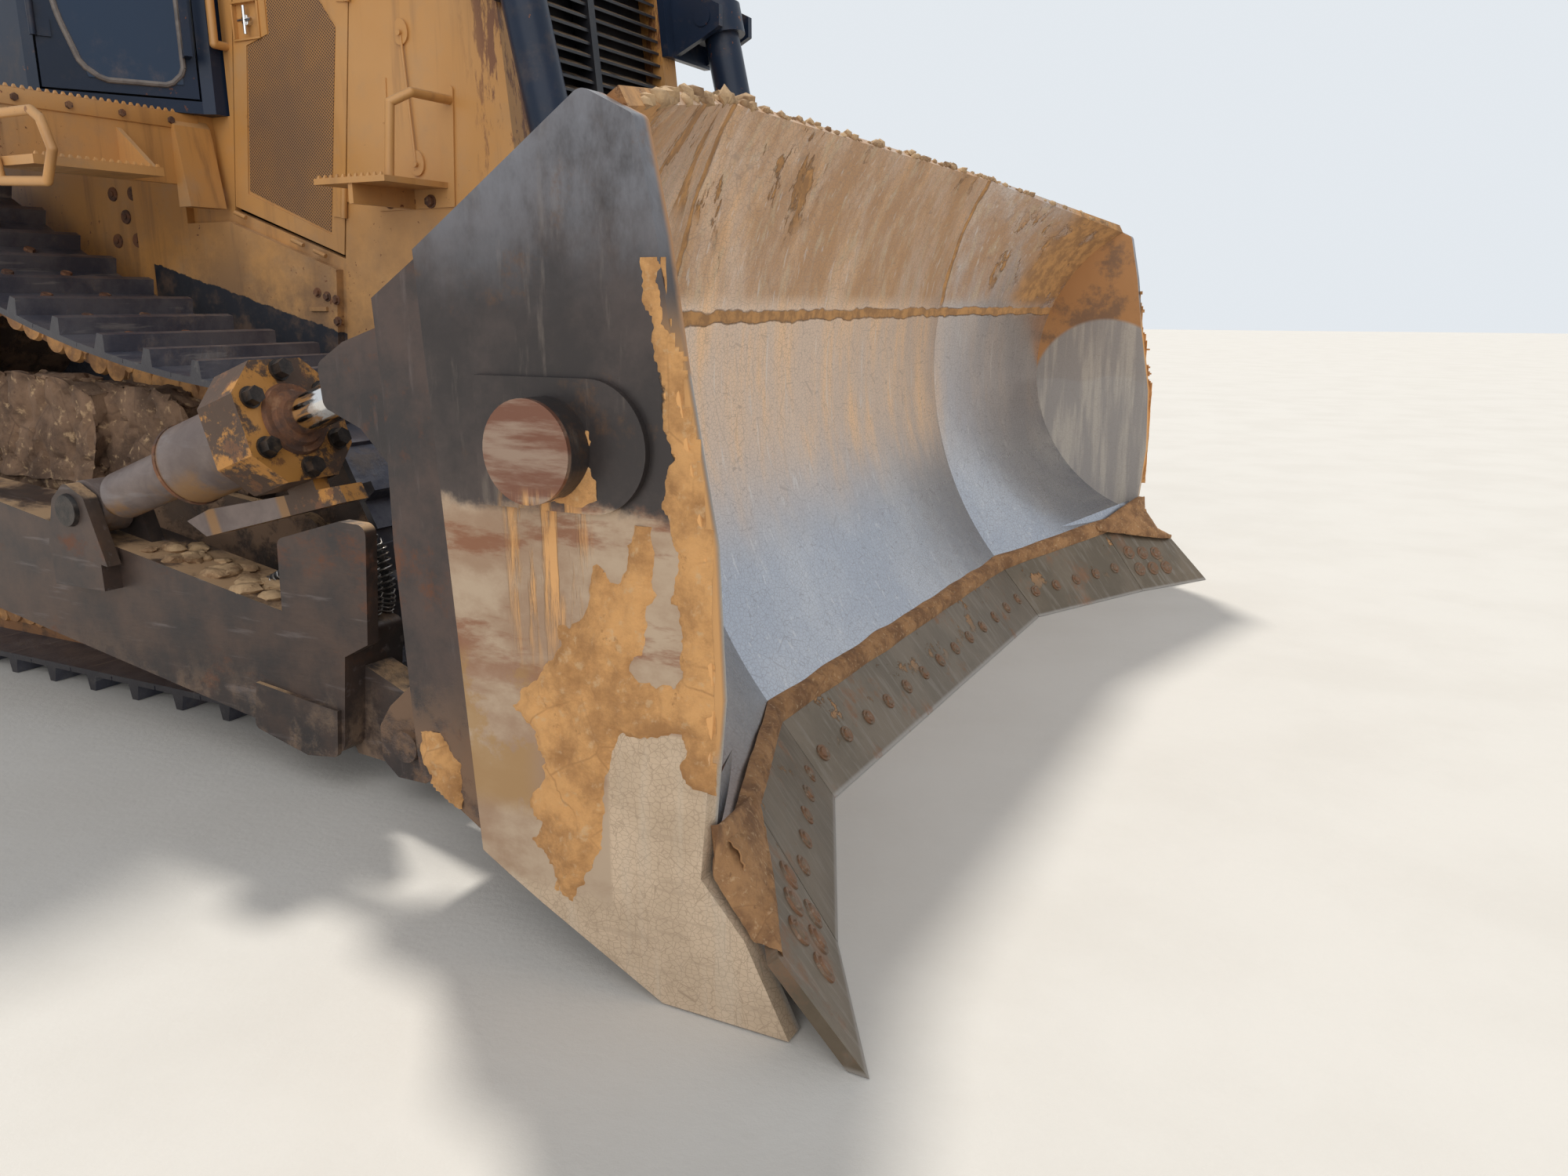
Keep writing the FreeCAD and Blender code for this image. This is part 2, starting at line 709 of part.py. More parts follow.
def cheek(low, high):
    """Side plate of the track frame, with an eye round each idler shaft."""
    front, rear = D.idler_front, D.idler_rear
    return plate("XZ_Plane", [
        (rear - 110, idler_z - 110, 90), (rear + 150, D.cheek_low + 30), (rear + 330, D.cheek_low),
        (front - 330, D.cheek_low), (front - 150, D.cheek_low + 30), (front + 110, idler_z - 110, 90),
        (front + 110, idler_z + 110, 90), (front - 420, D.frame_top, 60),
        (rear + 420, D.frame_top, 60), (rear - 110, idler_z + 110, 90)], low, high)


frame_box_rear = D.idler_rear + idler_tread + D.frame_end_gap
frame_box_front = D.idler_front - idler_tread - D.frame_end_gap
trunnion_boss = rod("Y", D.boss_r, -D.arm_near + D.side_play, track_y - cheek_out,
                    D.trunnion_x, D.trunnion_z)
trunnion_pin = rod("Y", D.trunnion_r, -(D.arm_near + D.arm_wide + D.side_play),
                   -D.arm_near + D.side_play, D.trunnion_x, D.trunnion_z)
trunnion_cap = rod("Y", D.boss_r, -(D.arm_near + D.arm_wide + D.side_play + 30),
                   -(D.arm_near + D.arm_wide + D.side_play), D.trunnion_x, D.trunnion_z)
both("track_frames", fuse(
    box((frame_box_rear, frame_box_front), (track_y - D.frame_near, track_y + D.frame_near),
        (D.frame_low, D.frame_top - 20)),
    cheek(track_y - cheek_out, track_y - D.frame_near),
    cheek(track_y + D.frame_near, track_y + cheek_out),
    trunnion_boss, trunnion_pin, trunnion_cap))


def sprocket_wheel():
    """Toothed ring on the final drive hub."""
    teeth = int(D.sprocket_teeth.value)
    step = 2 * math.pi / teeth
    points = []
    for number in range(teeth):
        for share, radius in ((-0.36, D.tooth_root_r), (-0.12, D.tooth_tip_r),
                              (0.12, D.tooth_tip_r), (0.36, D.tooth_root_r)):
            angle = (number + share) * step
            points.append(V(radius.value * math.cos(angle), 0, radius.value * math.sin(angle)))
    wire = Part.makePolygon(points + points[:1])
    wheel = Part.Face(wire).extrude(V(0, D.sprocket_wide.value, 0))
    bore = Part.makeCylinder(D.hub_r.value + D.seat_gap.value, D.sprocket_wide.value, V(0, 0, 0), V(0, 1, 0))
    return wheel.cut(bore)


# Dried mud on a track frame: outlines of (forward, up) and the two distances from the centre plane
frame_side = -track_y + cheek_out + D.seat_gap
frame_box_side = -track_y + D.frame_near - D.seat_gap
bed = D.frame_top - 20 + D.seat_gap
cheek_top = D.frame_top + D.seat_gap
over_boss = D.trunnion_z + D.boss_r + D.seat_gap
mud_near = -track_y + 145
MUD = [
    ([(-1400, bed), (600, bed), (560, 860), (300, 930), (-50, 960), (-350, 930), (-800, 900), (-1100, 830),
      (-1350, 780)], -track_y - D.frame_near + D.seat_gap, frame_box_side),
    ([(-370, cheek_top), (215, cheek_top), (275, 930), (262, 1080), (120, 1130), (-245, 1155), (-335, 1000)],
     mud_near, -track_y + 315),
    ([(-372, 662), (120, 690), (232, 780), (232, 840), (-350, 840)], frame_side, -track_y + 300),
    ([(200, cheek_top), (640, cheek_top), (664, 850), (650, 1060), (540, 1105), (220, 1125)],
     mud_near, -track_y + 260),
    ([(-1250, over_boss), (-470, over_boss), (-490, 900), (-640, 1040), (-860, 1060), (-1110, 900)],
     mud_near, -track_y + 285),
]
both("track_mud", fuse(*[plate("XZ_Plane", outline, -as_size(far), -near) for outline, near, far in MUD]))

wheel = made(sprocket_wheel(), "Wheel")
both("sprockets", put(wheel, D.sprocket_at, track_y - D.sprocket_wide / 2, D.sprocket_high))
both("final_drives", fuse(
    rod("Y", D.final_r, track_y + D.sprocket_wide / 2 + 20, -D.hull_half, D.sprocket_at, D.sprocket_high),
    rod("Y", D.hub_r, -D.hub_out + 60, track_y + D.sprocket_wide / 2 + 20, D.sprocket_at, D.sprocket_high),
    rod("Y", D.hub_r - 60, -D.hub_out, -D.hub_out + 60, D.sprocket_at, D.sprocket_high)))

# Hull and what hangs on it
belly_top = D.belly_low + D.belly_plate
slope_start = D.hull_front - 340
slope_rise = 210
both("hull_sides", plate("XZ_Plane", [
    (D.hull_rear, belly_top), (slope_start, belly_top), (D.hull_front, belly_top + slope_rise),
    (D.hull_front, D.hull_top), (D.case_front + 100, D.hull_top), (D.case_front, D.hull_top_rear),
    (D.hull_rear, D.hull_top_rear)], -D.hull_half, -D.hull_half + D.hull_plate))
node("belly_guard", plate("XZ_Plane", [
    (D.hull_rear, D.belly_low), (slope_start + 10, D.belly_low), (D.hull_front, D.belly_low + slope_rise - 6),
    (D.hull_front, belly_top + slope_rise), (slope_start, belly_top), (D.hull_rear, belly_top)],
    -D.hull_half, D.hull_half))
hull_inner = D.hull_half - D.hull_plate
node("rear_case", fuse(
    box((D.hull_rear, D.case_front), (-hull_inner, hull_inner), (belly_top, D.hull_top_rear)),
    box((D.hull_rear - 60, D.hull_rear), (-D.hull_half, D.hull_half), (D.belly_low, D.hull_top_rear))))
node("engine_block", box((-250, 1130), (-330, 330), (belly_top, 1900)))
node("pivot_shaft", group(
    rod("Y", D.pivot_r, track_y + cheek_out, -D.hull_half, D.pivot_at, D.pivot_high),
    rod("Y", D.pivot_r, D.hull_half, -track_y - cheek_out, D.pivot_at, D.pivot_high)))
bar_along = (D.bar_at, D.bar_at + D.bar_wide)
bar_up = (D.bar_low, D.bar_low + D.bar_high)
node("equalizer_bar", group(
    box(bar_along, (track_y + cheek_out, -D.hull_half), bar_up),
    box(bar_along, (D.hull_half, -track_y - cheek_out), bar_up)))
node("front_crossmember", box((D.hull_front - 40, D.hull_front), (-hull_inner, hull_inner),
                              (belly_top + slope_rise, D.hull_top)))
drawbar_low = D.drawbar_z - D.drawbar_thick / 2
drawbar_high = D.drawbar_z + D.drawbar_thick / 2
node("drawbar", cut(
    fuse(plate("XY_Plane", [
        (D.drawbar_end, -90, 60), (D.drawbar_end, 90, 60), (D.hull_rear - 560, 110), (D.hull_rear - 300, 260),
        (D.hull_rear - 60, 260), (D.hull_rear - 60, -260), (D.hull_rear - 300, -260),
        (D.hull_rear - 560, -110)], drawbar_low, drawbar_high),
        box((D.hull_rear - 300, D.hull_rear - 60), (-260, -200), (drawbar_high, drawbar_high + 220)),
        box((D.hull_rear - 300, D.hull_rear - 60), (200, 260), (drawbar_high, drawbar_high + 220))),
    rod("Z", D.drawbar_pin_r, drawbar_low, drawbar_high, D.drawbar_pin_x, 0)))


# Radiator guard, grille, hood and engine doors

class Line:
    """A straight axis in a plane of constant y, from one point towards another."""

    def __init__(self, x, z, to_x, to_z, y):
        self.x, self.z, self.y = as_size(x), as_size(z), as_size(y)
        across = as_size(to_x) - self.x
        up = as_size(to_z) - self.z
        self.long = distance(across, up)
        self.way_x = across / self.long
        self.way_z = up / self.long
        self.angle = math.degrees(math.atan2(up.value, across.value))
        self.turn = FreeCAD.Rotation(V(0, 1, 0), 90 - self.angle)

    def at(self, way, aside=0):
        """Point so far along the line and so far above it, as x, y and z."""
        way, aside = as_size(way), as_size(aside)
        return (self.x + self.way_x * way - self.way_z * aside, self.y,
                self.z + self.way_z * way + self.way_x * aside)

    def round(self, radius, low, high):
        """A round bar along the line."""
        bar = doc.addObject("Part::Cylinder", "Rod")
        length = as_size(high) - low
        bar.Radius = float(as_size(radius).value)
        bar.Height = length.value
        drive(bar, "Radius", radius)
        drive(bar, "Height", length)
        return put(bar, *self.at(low), turn=self.turn)

    def slab(self, outline, low, high):
        """A slab across the line with an outline drawn round it."""
        piece = group(plate("XY_Plane", outline, 0, as_size(high) - low))
        return put(piece, *self.at(low), turn=self.turn)

    def side(self, outline, low, high):
        """A plate beside the line, drawn along and above it, between two values of y."""
        corners = [self.at(along, above) for along, above in outline]
        return plate("XZ_Plane", [(corner[0], corner[2]) for corner in corners], low, high)

def guard_face_x(z):
    """Front edge of the guard at a height."""
    return D.guard_foot + (D.guard_brow - D.guard_foot) * ((as_size(z) - D.guard_low)
                                                           / (D.guard_top - D.guard_low))


def lean_strip(low_z, high_z, back, front, y_low, y_high):
    """A bar that follows the leaning front edge between two setbacks."""
    return plate("XZ_Plane", [
        (guard_face_x(low_z) - back, low_z), (guard_face_x(low_z) - front, low_z),
        (guard_face_x(high_z) - front, high_z), (guard_face_x(high_z) - back, high_z)], y_low, y_high)


def guard_side(low, high):
    """One side of the guard: leaning front edge and leaning door seam."""
    return plate("XZ_Plane", [
        (D.guard_rear_foot, D.guard_low), (D.guard_foot, D.guard_low), (D.guard_brow, D.guard_top),
        (D.seam_top_x, D.guard_top), (D.seam_low_x, D.seam_low_z)], low, high)


guard_inner = D.hull_half
seam = Line(D.seam_low_x, D.seam_low_z, D.seam_top_x, D.guard_top, -D.guard_half - D.knuckle_r)
engine_knuckles, guard_knuckles = [], []
for start in (150, 900):
    shut = start + 60 + D.seat_gap
    engine_knuckles += [
        seam.round(D.knuckle_r, start, start + 60),
        seam.side([(start, 0), (start + 60, 0), (start + 60, 60), (start, 60)],
                  -D.guard_half - D.knuckle_r / 2, -D.guard_half + 2)]
    guard_knuckles += [
        seam.round(D.knuckle_r, shut, shut + 60),
        seam.side([(shut, 0), (shut + 60, 0), (shut + 60, -50), (shut, -50)],
                  -D.guard_half - D.knuckle_r / 2, -D.guard_half)]
radiator_guard = fuse(
    *guard_knuckles, *[mirror(piece) for piece in guard_knuckles],
    guard_side(-D.guard_half, -guard_inner),
    guard_side(guard_inner, D.guard_half),
    box((D.seam_top_x, guard_face_x(D.guard_top)), (-guard_inner, guard_inner),
        (D.guard_top - 30, D.guard_top)),
    lean_strip(D.hull_top, D.guard_top, 90, 0, -guard_inner, -D.grille_half),
    lean_strip(D.hull_top, D.guard_top, 90, 0, D.grille_half, guard_inner),
    lean_strip(D.hull_top, D.grille_low + 400, 90, 0, -D.grille_half, D.grille_half),
    lean_strip(D.grille_high, D.guard_top, 90, 0, -D.grille_half, D.grille_half))
node("radiator_guard", radiator_guard)


def louvres():
    """Sloping slats joined by a centre bar."""
    low = D.grille_low + 400
    step = (D.grille_high - low) / D.slat_count
    bars = []
    for number in range(int(D.slat_count.value)):
        foot = low + step * (number + 0.15)
        front = guard_face_x(foot)
        bars.append(plate("XZ_Plane", [
            (front - 70, foot + step * 0.55), (front - 15, foot), (front - 15, foot + D.slat_thick),
            (front - 70, foot + step * 0.55 + D.slat_thick)], -D.grille_half, D.grille_half))
    bars.append(lean_strip(low, D.grille_high, 80, 5, -20, 20))
    return fuse(*bars)


node("radiator_grille", louvres())
node("radiator_core", lean_strip(D.hull_top + 80, D.grille_high + 60, 90 + D.seat_gap + D.core_thick,
                                 90 + D.seat_gap, -D.core_half, D.core_half))
node("hood", plate("XZ_Plane", [
    (D.hood_rear, D.guard_top), (D.guard_brow, D.guard_top),
    (D.guard_brow - 40, D.guard_top + D.hood_thick / 2),
    (D.seam_top_x, D.guard_top + D.hood_thick), (D.hood_rear, D.guard_top + D.hood_thick)],
    -D.guard_half, D.guard_half))


def stack_up(foot, x, y, rows):
    """Round pieces on top of each other: rows of (radius, height)."""
    pieces = []
    for radius, height in rows:
        pieces.append(rod("Z", radius, foot, foot + height, x, y))
        foot = foot + height
    return fuse(*pieces)


hood_top = D.guard_top + D.hood_thick
node("air_cleaner", stack_up(hood_top, D.cleaner_x, -D.cleaner_y, [
    (D.cleaner_neck_r, D.cleaner_neck), (D.cleaner_bowl_r, D.cleaner_bowl),
    (D.cleaner_cap_r, D.cleaner_cap)]))
node("exhaust_stack", stack_up(hood_top, D.muffler_x, D.muffler_y, [
    (D.muffler_r, D.muffler_high), (D.stack_r, D.stack_high)]))


def engine_door(low, high):
    """Engine door: rear edge, slanting lower edge and leaning seam, inside its gap."""
    gap, heel = D.door_gap, D.door_gap + D.door_heel
    return plate("XZ_Plane", [
        (D.door_rear_x + gap, D.door_rear_z + heel), (D.seam_low_x - gap, D.seam_low_z + heel),
        (D.seam_top_x - gap, D.guard_top - gap), (D.door_rear_top + gap, D.guard_top - gap)], low, high)


door_outer = -D.guard_half
door_slab = engine_door(door_outer, door_outer + D.door_thick)
door_recess = plate("XZ_Plane", [
    (D.door_rear_x + 85, D.door_rear_z + 60), (D.seam_low_x - 60, D.seam_low_z + 90),
    (D.seam_top_x - 110, D.guard_top - 330), (D.seam_top_x - 260, D.guard_top - 130),
    (D.door_rear_top + 150, D.guard_top - 130), (D.door_rear_top + 150, D.guard_top - 330),
    (D.door_rear_top + 30, D.guard_top - 360)], door_outer - 1, door_outer + 5)
latch_recess = box((120, 250), (door_outer - 1, door_outer + 14), (2365, 2490))
pair("engine_door", fuse(cut(door_slab, door_recess, latch_recess), *engine_knuckles))

panel_edge = D.deck_front
engine_panel = plate("XZ_Plane", [
    (panel_edge, D.guard_low), (D.guard_rear_foot, D.guard_low), (D.seam_low_x, D.seam_low_z),
    (D.door_rear_x, D.door_rear_z), (D.door_rear_top, D.guard_top), (D.hood_rear, D.guard_top),
    (D.hood_rear, D.deck_top), (panel_edge, D.deck_top)],
    -D.guard_half, -guard_inner)
both("engine_panels", engine_panel)

access_out = D.guard_half + 33
both("access_panels", plate("XZ_Plane", [
    (-560, D.guard_low + 60), (D.guard_rear_foot - 10, D.guard_low + 60),
    (D.seam_low_x - 20, D.seam_low_z - 40),
    (10, D.door_rear_z - 45), (-235, D.door_rear_z - 45), (-235, 1900), (-400, D.deck_top - D.deck_plate),
    (-560, D.deck_top - D.deck_plate)],
    -access_out, -D.guard_half))

# Platform with front riser and step
deck_low = D.deck_top - D.deck_plate
deck_out = D.track_gauge / 2 + D.shoe_width / 2
web_front = D.deck_front
fender = fuse(
    box((D.deck_rear, D.deck_front), (-deck_out, -D.guard_half), (deck_low, D.deck_top)),
    plate("XZ_Plane", [
        (D.deck_rear, D.hull_top_rear - 10), (-1140, D.hull_top_rear - 10), (-1100, D.hull_top - 100),
        (web_front, D.hull_top - 100), (web_front, D.deck_top), (D.deck_rear, D.deck_top)],
        -D.guard_half, -D.hull_half),
    box((D.deck_front - 25, D.deck_front), (-deck_out, -D.guard_half), (D.step_top - 30, deck_low)),
    box((D.deck_front, D.step_out), (-deck_out + 28, -965), (D.step_top - 30, D.step_top)),
    plate("XZ_Plane", [(D.deck_front, D.step_top), (D.step_out - 30, D.step_top),
                       (D.deck_front, D.step_top + 150)], -985, -965),
    plate("XZ_Plane", [(D.deck_front, 1745), (8, 1745), (-40, 2045), (D.deck_front, D.deck_top - D.deck_plate)],
          -access_out - 160, -access_out))
both("fenders", fender)

# Cab
nose_out = D.cab_nose_half + 25
nose_x = Size(-10, "(-10)")
node("cab_front_wall", cut(
    plate("XY_Plane", [
        (D.cab_front, -D.cab_nose_half), (nose_x, -nose_out), (nose_x - 52, -nose_out + 30),
        (D.cab_front - D.cab_wall, -D.cab_nose_half + 40), (D.cab_front - D.cab_wall, D.cab_nose_half - 40),
        (nose_x - 52, nose_out - 30), (nose_x, nose_out), (D.cab_front, D.cab_nose_half)],
        D.cab_floor, D.cab_eave),
    box((D.cab_front - 2 * D.cab_wall, D.cab_front + 10), (-D.cab_nose_half + 70, D.cab_nose_half - 70),
        (D.windshield_low, D.head_high))))
floor_plan = [
    (D.cab_front, -D.cab_nose_half), (nose_x, -nose_out), (D.cab_post_x, -D.cab_half),
    (D.cab_post_x - 65, -D.cab_half - 2), (D.cab_turn_x, -D.cab_turn_half), (D.cab_rear, -D.cab_rear_half),
    (D.cab_rear, D.cab_rear_half), (D.cab_turn_x, D.cab_turn_half), (D.cab_post_x - 65, D.cab_half + 2),
    (D.cab_post_x, D.cab_half), (nose_x, nose_out), (D.cab_front, D.cab_nose_half)]
node("cab_floor_pan", plate("XY_Plane", floor_plan, D.deck_top, D.cab_floor))
node("cab_roof_panel", plate("XY_Plane", floor_plan, D.cab_eave, D.cab_roof))
side_fall = (D.cab_half + 2 - D.cab_turn_half) / (D.cab_post_x - 65 - D.cab_turn_x)


def side_line(x, inward):
    """Distance of the slanting side wall from the centre plane at x, measured in from outside."""
    return D.cab_half + 2 - (D.cab_post_x - 65 - as_size(x)) * side_fall - inward


def side_window(low, high, inset):
    """A block in the side wall's plane, as a window opening or its pane."""
    front = D.cab_post_x - 170 - inset
    rear = D.cab_turn_x + 150 + inset
    return plate("XY_Plane", [
        (front, -side_line(front, low)), (rear, -side_line(rear, low)), (rear, -side_line(rear, high)),
        (front, -side_line(front, high))], D.sill_high + inset, D.head_high - inset)


cab_side = cut(
    plate("XY_Plane", [
        (D.cab_post_x, -D.cab_half), (D.cab_post_x - 65, -D.cab_half - 2), (D.cab_turn_x, -D.cab_turn_half),
        (D.cab_rear, -D.cab_rear_half), (D.cab_rear + D.cab_wall, -D.cab_rear_half + 10),
        (D.cab_turn_x + 38, -D.cab_turn_half + 56), (D.cab_post_x - 65, -D.cab_half + 59),
        (D.cab_post_x - 52, -D.cab_half + 30)], D.cab_floor, D.cab_eave),
    side_window(-50, 150, 0))
node("cab_rear_wall", cut(
    plate("XY_Plane", [
        (D.cab_rear, -D.cab_rear_half), (D.cab_rear, D.cab_rear_half),
        (D.cab_rear + D.cab_wall, D.cab_rear_half - 10), (D.cab_rear + D.cab_wall, -D.cab_rear_half + 10)],
        D.cab_floor, D.cab_eave),
    box((D.cab_rear - 10, D.cab_rear + 2 * D.cab_wall), (-D.cab_rear_half + 180, D.cab_rear_half - 180),
        (D.sill_high, D.head_high))))
pane_gap = D.seat_gap
side_pane = side_window(26, 26 + D.glass, pane_gap)
node("cab_glass", group(
    box((D.cab_front - 34, D.cab_front - 26),
        (-D.cab_nose_half + 70 + pane_gap, D.cab_nose_half - 70 - pane_gap),
        (D.windshield_low + pane_gap, D.head_high - pane_gap)),
    side_pane, mirror(side_pane),
    box((D.cab_rear + 26, D.cab_rear + 34),
        (-D.cab_rear_half + 180 + pane_gap, D.cab_rear_half - 180 - pane_gap),
        (D.sill_high + pane_gap, D.head_high - pane_gap))))
node("seat", fuse(
    box((-1250, -800), (-180, 180), (D.cab_floor, D.cab_floor + 320)),
    box((-1330, -740), (-270, 270), (D.cab_floor + 320, D.cab_floor + 440)),
    plate("XZ_Plane", [(-1330, D.cab_floor + 380, 40), (-1200, D.cab_floor + 380),
                       (-1290, D.cab_floor + 940, 30), (-1400, D.cab_floor + 940, 30)], -250, 250),
    box((-1300, -850), (-360, -270), (D.cab_floor + 250, D.cab_floor + 620)),
    box((-1300, -850), (270, 360), (D.cab_floor + 250, D.cab_floor + 620))))
node("dash", plate("XZ_Plane", [
    (-330, D.cab_floor), (-130, D.cab_floor), (-100, D.windshield_low - 40), (-200, D.windshield_low),
    (-330, D.windshield_low - 120)], -330, 330))

# Cab doors: each stands between the nose and the widest corner, on a slant
door_across = D.cab_half - nose_out
door_back = nose_x - D.cab_post_x
door_run = distance(door_back, door_across)
door_turn = angle_of(door_across, door_back) + 90
door_angle = FreeCAD.Rotation(V(0, 0, 1), door_turn.value - 180)


def on_door(outline, low, high):
    """A piece drawn along the door's width and up, between two depths behind its outer face."""
    slab = plate("YZ_Plane", [(-as_size(point[0]),) + tuple(point[1:]) for point in outline],
                 -as_size(high), -as_size(low))
    holder = group(slab)
    put(holder, nose_x, -nose_out, 0, turn=door_angle)
    return holder


door_edge = door_run - D.cab_door_gap
door_low = D.cab_floor + D.cab_door_gap
door_high = D.cab_eave - D.cab_door_gap


def door_window(inset):
    """Window outline in the door: rounded, with a slanting lower outer edge."""
    return [(65 + inset, D.cab_floor + 620 + inset, 60), (door_edge - 150, D.cab_floor + 620 + inset, 60),
            (door_edge - 65 - inset, D.cab_floor + 800, 60), (door_edge - 65 - inset, D.head_high - inset, 60),
            (65 + inset, D.head_high - inset, 60)]


cab_door_slab = on_door([(D.cab_door_gap, door_low), (door_edge, door_low), (door_edge, door_high),
                         (D.cab_door_gap, door_high)], 0, D.cab_door_thick)
pull_x, pull_low, pull_high = 40, D.cab_floor + 150, D.cab_floor + 800
door_pull = [
    on_door([(pull_x - 14, pull_low), (pull_x + 14, pull_low),
             (pull_x + 14, pull_high), (pull_x - 14, pull_high)], -70, -45),
    on_door([(pull_x - 14, pull_low), (pull_x + 14, pull_low), (pull_x + 14, pull_low + 30),
             (pull_x - 14, pull_low + 30)], -50, 5),
    on_door([(pull_x - 14, pull_high - 30), (pull_x + 14, pull_high - 30), (pull_x + 14, pull_high),
             (pull_x - 14, pull_high)], -50, 5)]
hinge_at = door_run - 2
hinge_rows = (D.cab_floor + 180, D.cab_eave - 250)


def on_door_round(low, high):
    """A hinge knuckle on the door's outer edge."""
    holder = group(rod("Z", D.knuckle_r, low, high, D.knuckle_r, -hinge_at))
    return put(holder, nose_x, -nose_out, 0, turn=door_angle)


def leaf(start, finish, low, high, base, top):
    """A hinge leaf from one place along the door to another."""
    return on_door([(start, base), (finish, base), (finish, top), (start, top)], low, high)


door_knuckles, post_knuckles = [], []
for row in hinge_rows:
    door_knuckles += [on_door_round(row, row + 60), leaf(door_edge - 50, hinge_at, -8, 2, row, row + 60)]
    shut = row + 60 + D.seat_gap
    post_knuckles += [on_door_round(shut, shut + 60), leaf(door_run, door_run + 10, -12, 30, shut, shut + 60)]
cab_door_whole = fuse(cut(cab_door_slab, on_door(door_window(0), -20, 80)), *door_pull, *door_knuckles)
pair("cab_door", cab_door_whole)
both("cab_sides", fuse(cab_side, *post_knuckles))
pair("cab_door_glass", on_door(door_window(pane_gap), 18, 26))

# Roll-over frame, fuel tank, steps and rails
post_near = side_line(D.post_rear + D.post_deep, 0) + D.post_clear
post_out = post_near + D.post_wide
both("rollover_posts", box((D.post_rear, D.post_rear + D.post_deep), (-post_out, -post_near),
                          (D.deck_top, D.canopy_low)))
node("canopy", plate("YZ_Plane", [
    (-post_out, D.canopy_low), (-post_out, D.canopy_high - 40), (-post_out + 60, D.canopy_high),
    (post_out - 60, D.canopy_high), (post_out, D.canopy_high - 40), (post_out, D.canopy_low)],
    D.canopy_rear, D.canopy_front))


def lamp(edge, ahead, y):
    """A work lamp on an edge of the canopy: housing and lens."""
    start, finish, lens = [edge + way * ahead for way in (D.seat_gap, D.lamp_deep, D.lamp_deep + 15)]
    middle = (D.canopy_low + D.canopy_high) / 2
    return fuse(
        box((start, finish) if ahead > 0 else (finish, start), (y - D.lamp_half, y + D.lamp_half),
            (middle - 50, middle + 40)),
        rod("X", D.lamp_r, *((finish, lens) if ahead > 0 else (lens, finish)), y, middle - 5))


both("lamps", group(
    lamp(D.canopy_front, 1, -850), lamp(D.canopy_front, 1, -300), lamp(D.canopy_rear, -1, -600)))
node("fuel_tank", plate("XZ_Plane", [
    (D.tank_rear, D.hull_top_rear + 200, 60), (D.tank_rear + 160, D.hull_top_rear),
    (D.tank_front, D.hull_top_rear), (D.tank_front, D.tank_high, 60), (D.tank_rear + 60, D.tank_high, 60),
    (D.tank_rear, D.tank_high - 120, 60)], -D.tank_half, D.tank_half))


def bent_rail(points, radius):
    """A round rail through points, with a ball at each bend."""
    rail = None
    for number in range(len(points) - 1):
        start, finish = V(*points[number]), V(*points[number + 1])
        stretch = Part.makeCylinder(radius, (finish - start).Length, start, finish - start)
        rail = stretch if rail is None else rail.fuse(stretch)
        if number:
            rail = rail.fuse(Part.makeSphere(radius, start))
    return rail


guard_y = -D.guard_half.value
rail_r = D.rail_tube.value
grab = made(bent_rail([(1084, -800, 1795), (1112, -800, 2040), (1171, -760, 2073), (1171, guard_y, 2073)],
                      rail_r), "Grab")
step_high = D.guard_step
both("guard_steps", fuse(
    box((810, 1140), (-880, -D.guard_half), (step_high - 20, step_high)),
    box((960, 980), (-870, -D.guard_half), (step_high - 86, step_high - 20)),
    plate("XZ_Plane", [(800, 1712), (1165, 1716), (1190, 2120, 15), (1132, 2120, 15), (1112, step_high),
                       (800, step_high)], -D.guard_half - 8, -D.guard_half),
    grab))
panel_y = -D.guard_half.value
rail_y = -deck_out.value + 10
both("grab_rails", group(
    made(bent_rail([(62, panel_y, 2600), (62, panel_y - 55, 2600),
                    (62, panel_y - 55, 2345), (62, panel_y, 2345)], rail_r), "Grab"),
    made(bent_rail([(-60, rail_y, 1848), (-25, rail_y, 1848), (-10, rail_y, 1780), (238, rail_y, 1768),
                    (286, rail_y, 1864), (244, rail_y, 1962), (200, rail_y, 1990), (-60, rail_y, 1990)],
                   rail_r), "Grab")))


# Lift cylinder mounts, lift cylinders
lift = Line(D.lift_top_x, D.lift_top_z, D.lift_eye_x, D.lift_eye_z, -D.lift_y)
gland = D.lift_below - 80
pair("lift_cylinder", cut(
    fuse(lift.round(D.lift_tube_r, -D.lift_above, D.lift_below),
         lift.round(D.lift_collar_r, -60, 60),
         lift.round(D.lift_tube_r + 12, gland, D.lift_below),
         rod("Y", D.lift_pin_r, -D.lift_y - D.lift_pin_out, -D.lift_y + D.lift_pin_out,
             D.lift_top_x, D.lift_top_z)),
    lift.round(D.lift_bore_r, -D.lift_above + 40, gland),
    lift.round(D.lift_rod_r + D.pin_play, gland - 10, D.lift_below + 10)))
pair("lift_rod", fuse(
    lift.round(D.lift_rod_r, lift.long - D.lift_rod_long, lift.long - 40),
    rod("Y", D.lift_eye_r, -D.lift_y - D.lift_eye_wide / 2, -D.lift_y + D.lift_eye_wide / 2,
        D.lift_eye_x, D.lift_eye_z)))
yoke_half = D.lift_collar_r + D.side_play
yoke_low, yoke_high = D.lift_top_z - 150, D.lift_top_z + 120
yoke_arm = [(guard_face_x(yoke_low), yoke_low), (D.lift_top_x, D.lift_top_z - 80),
            (D.lift_top_x + 80, D.lift_top_z - 40), (D.lift_top_x + 80, D.lift_top_z + 40),
            (D.lift_top_x, D.lift_top_z + 80), (guard_face_x(yoke_high), yoke_high)]
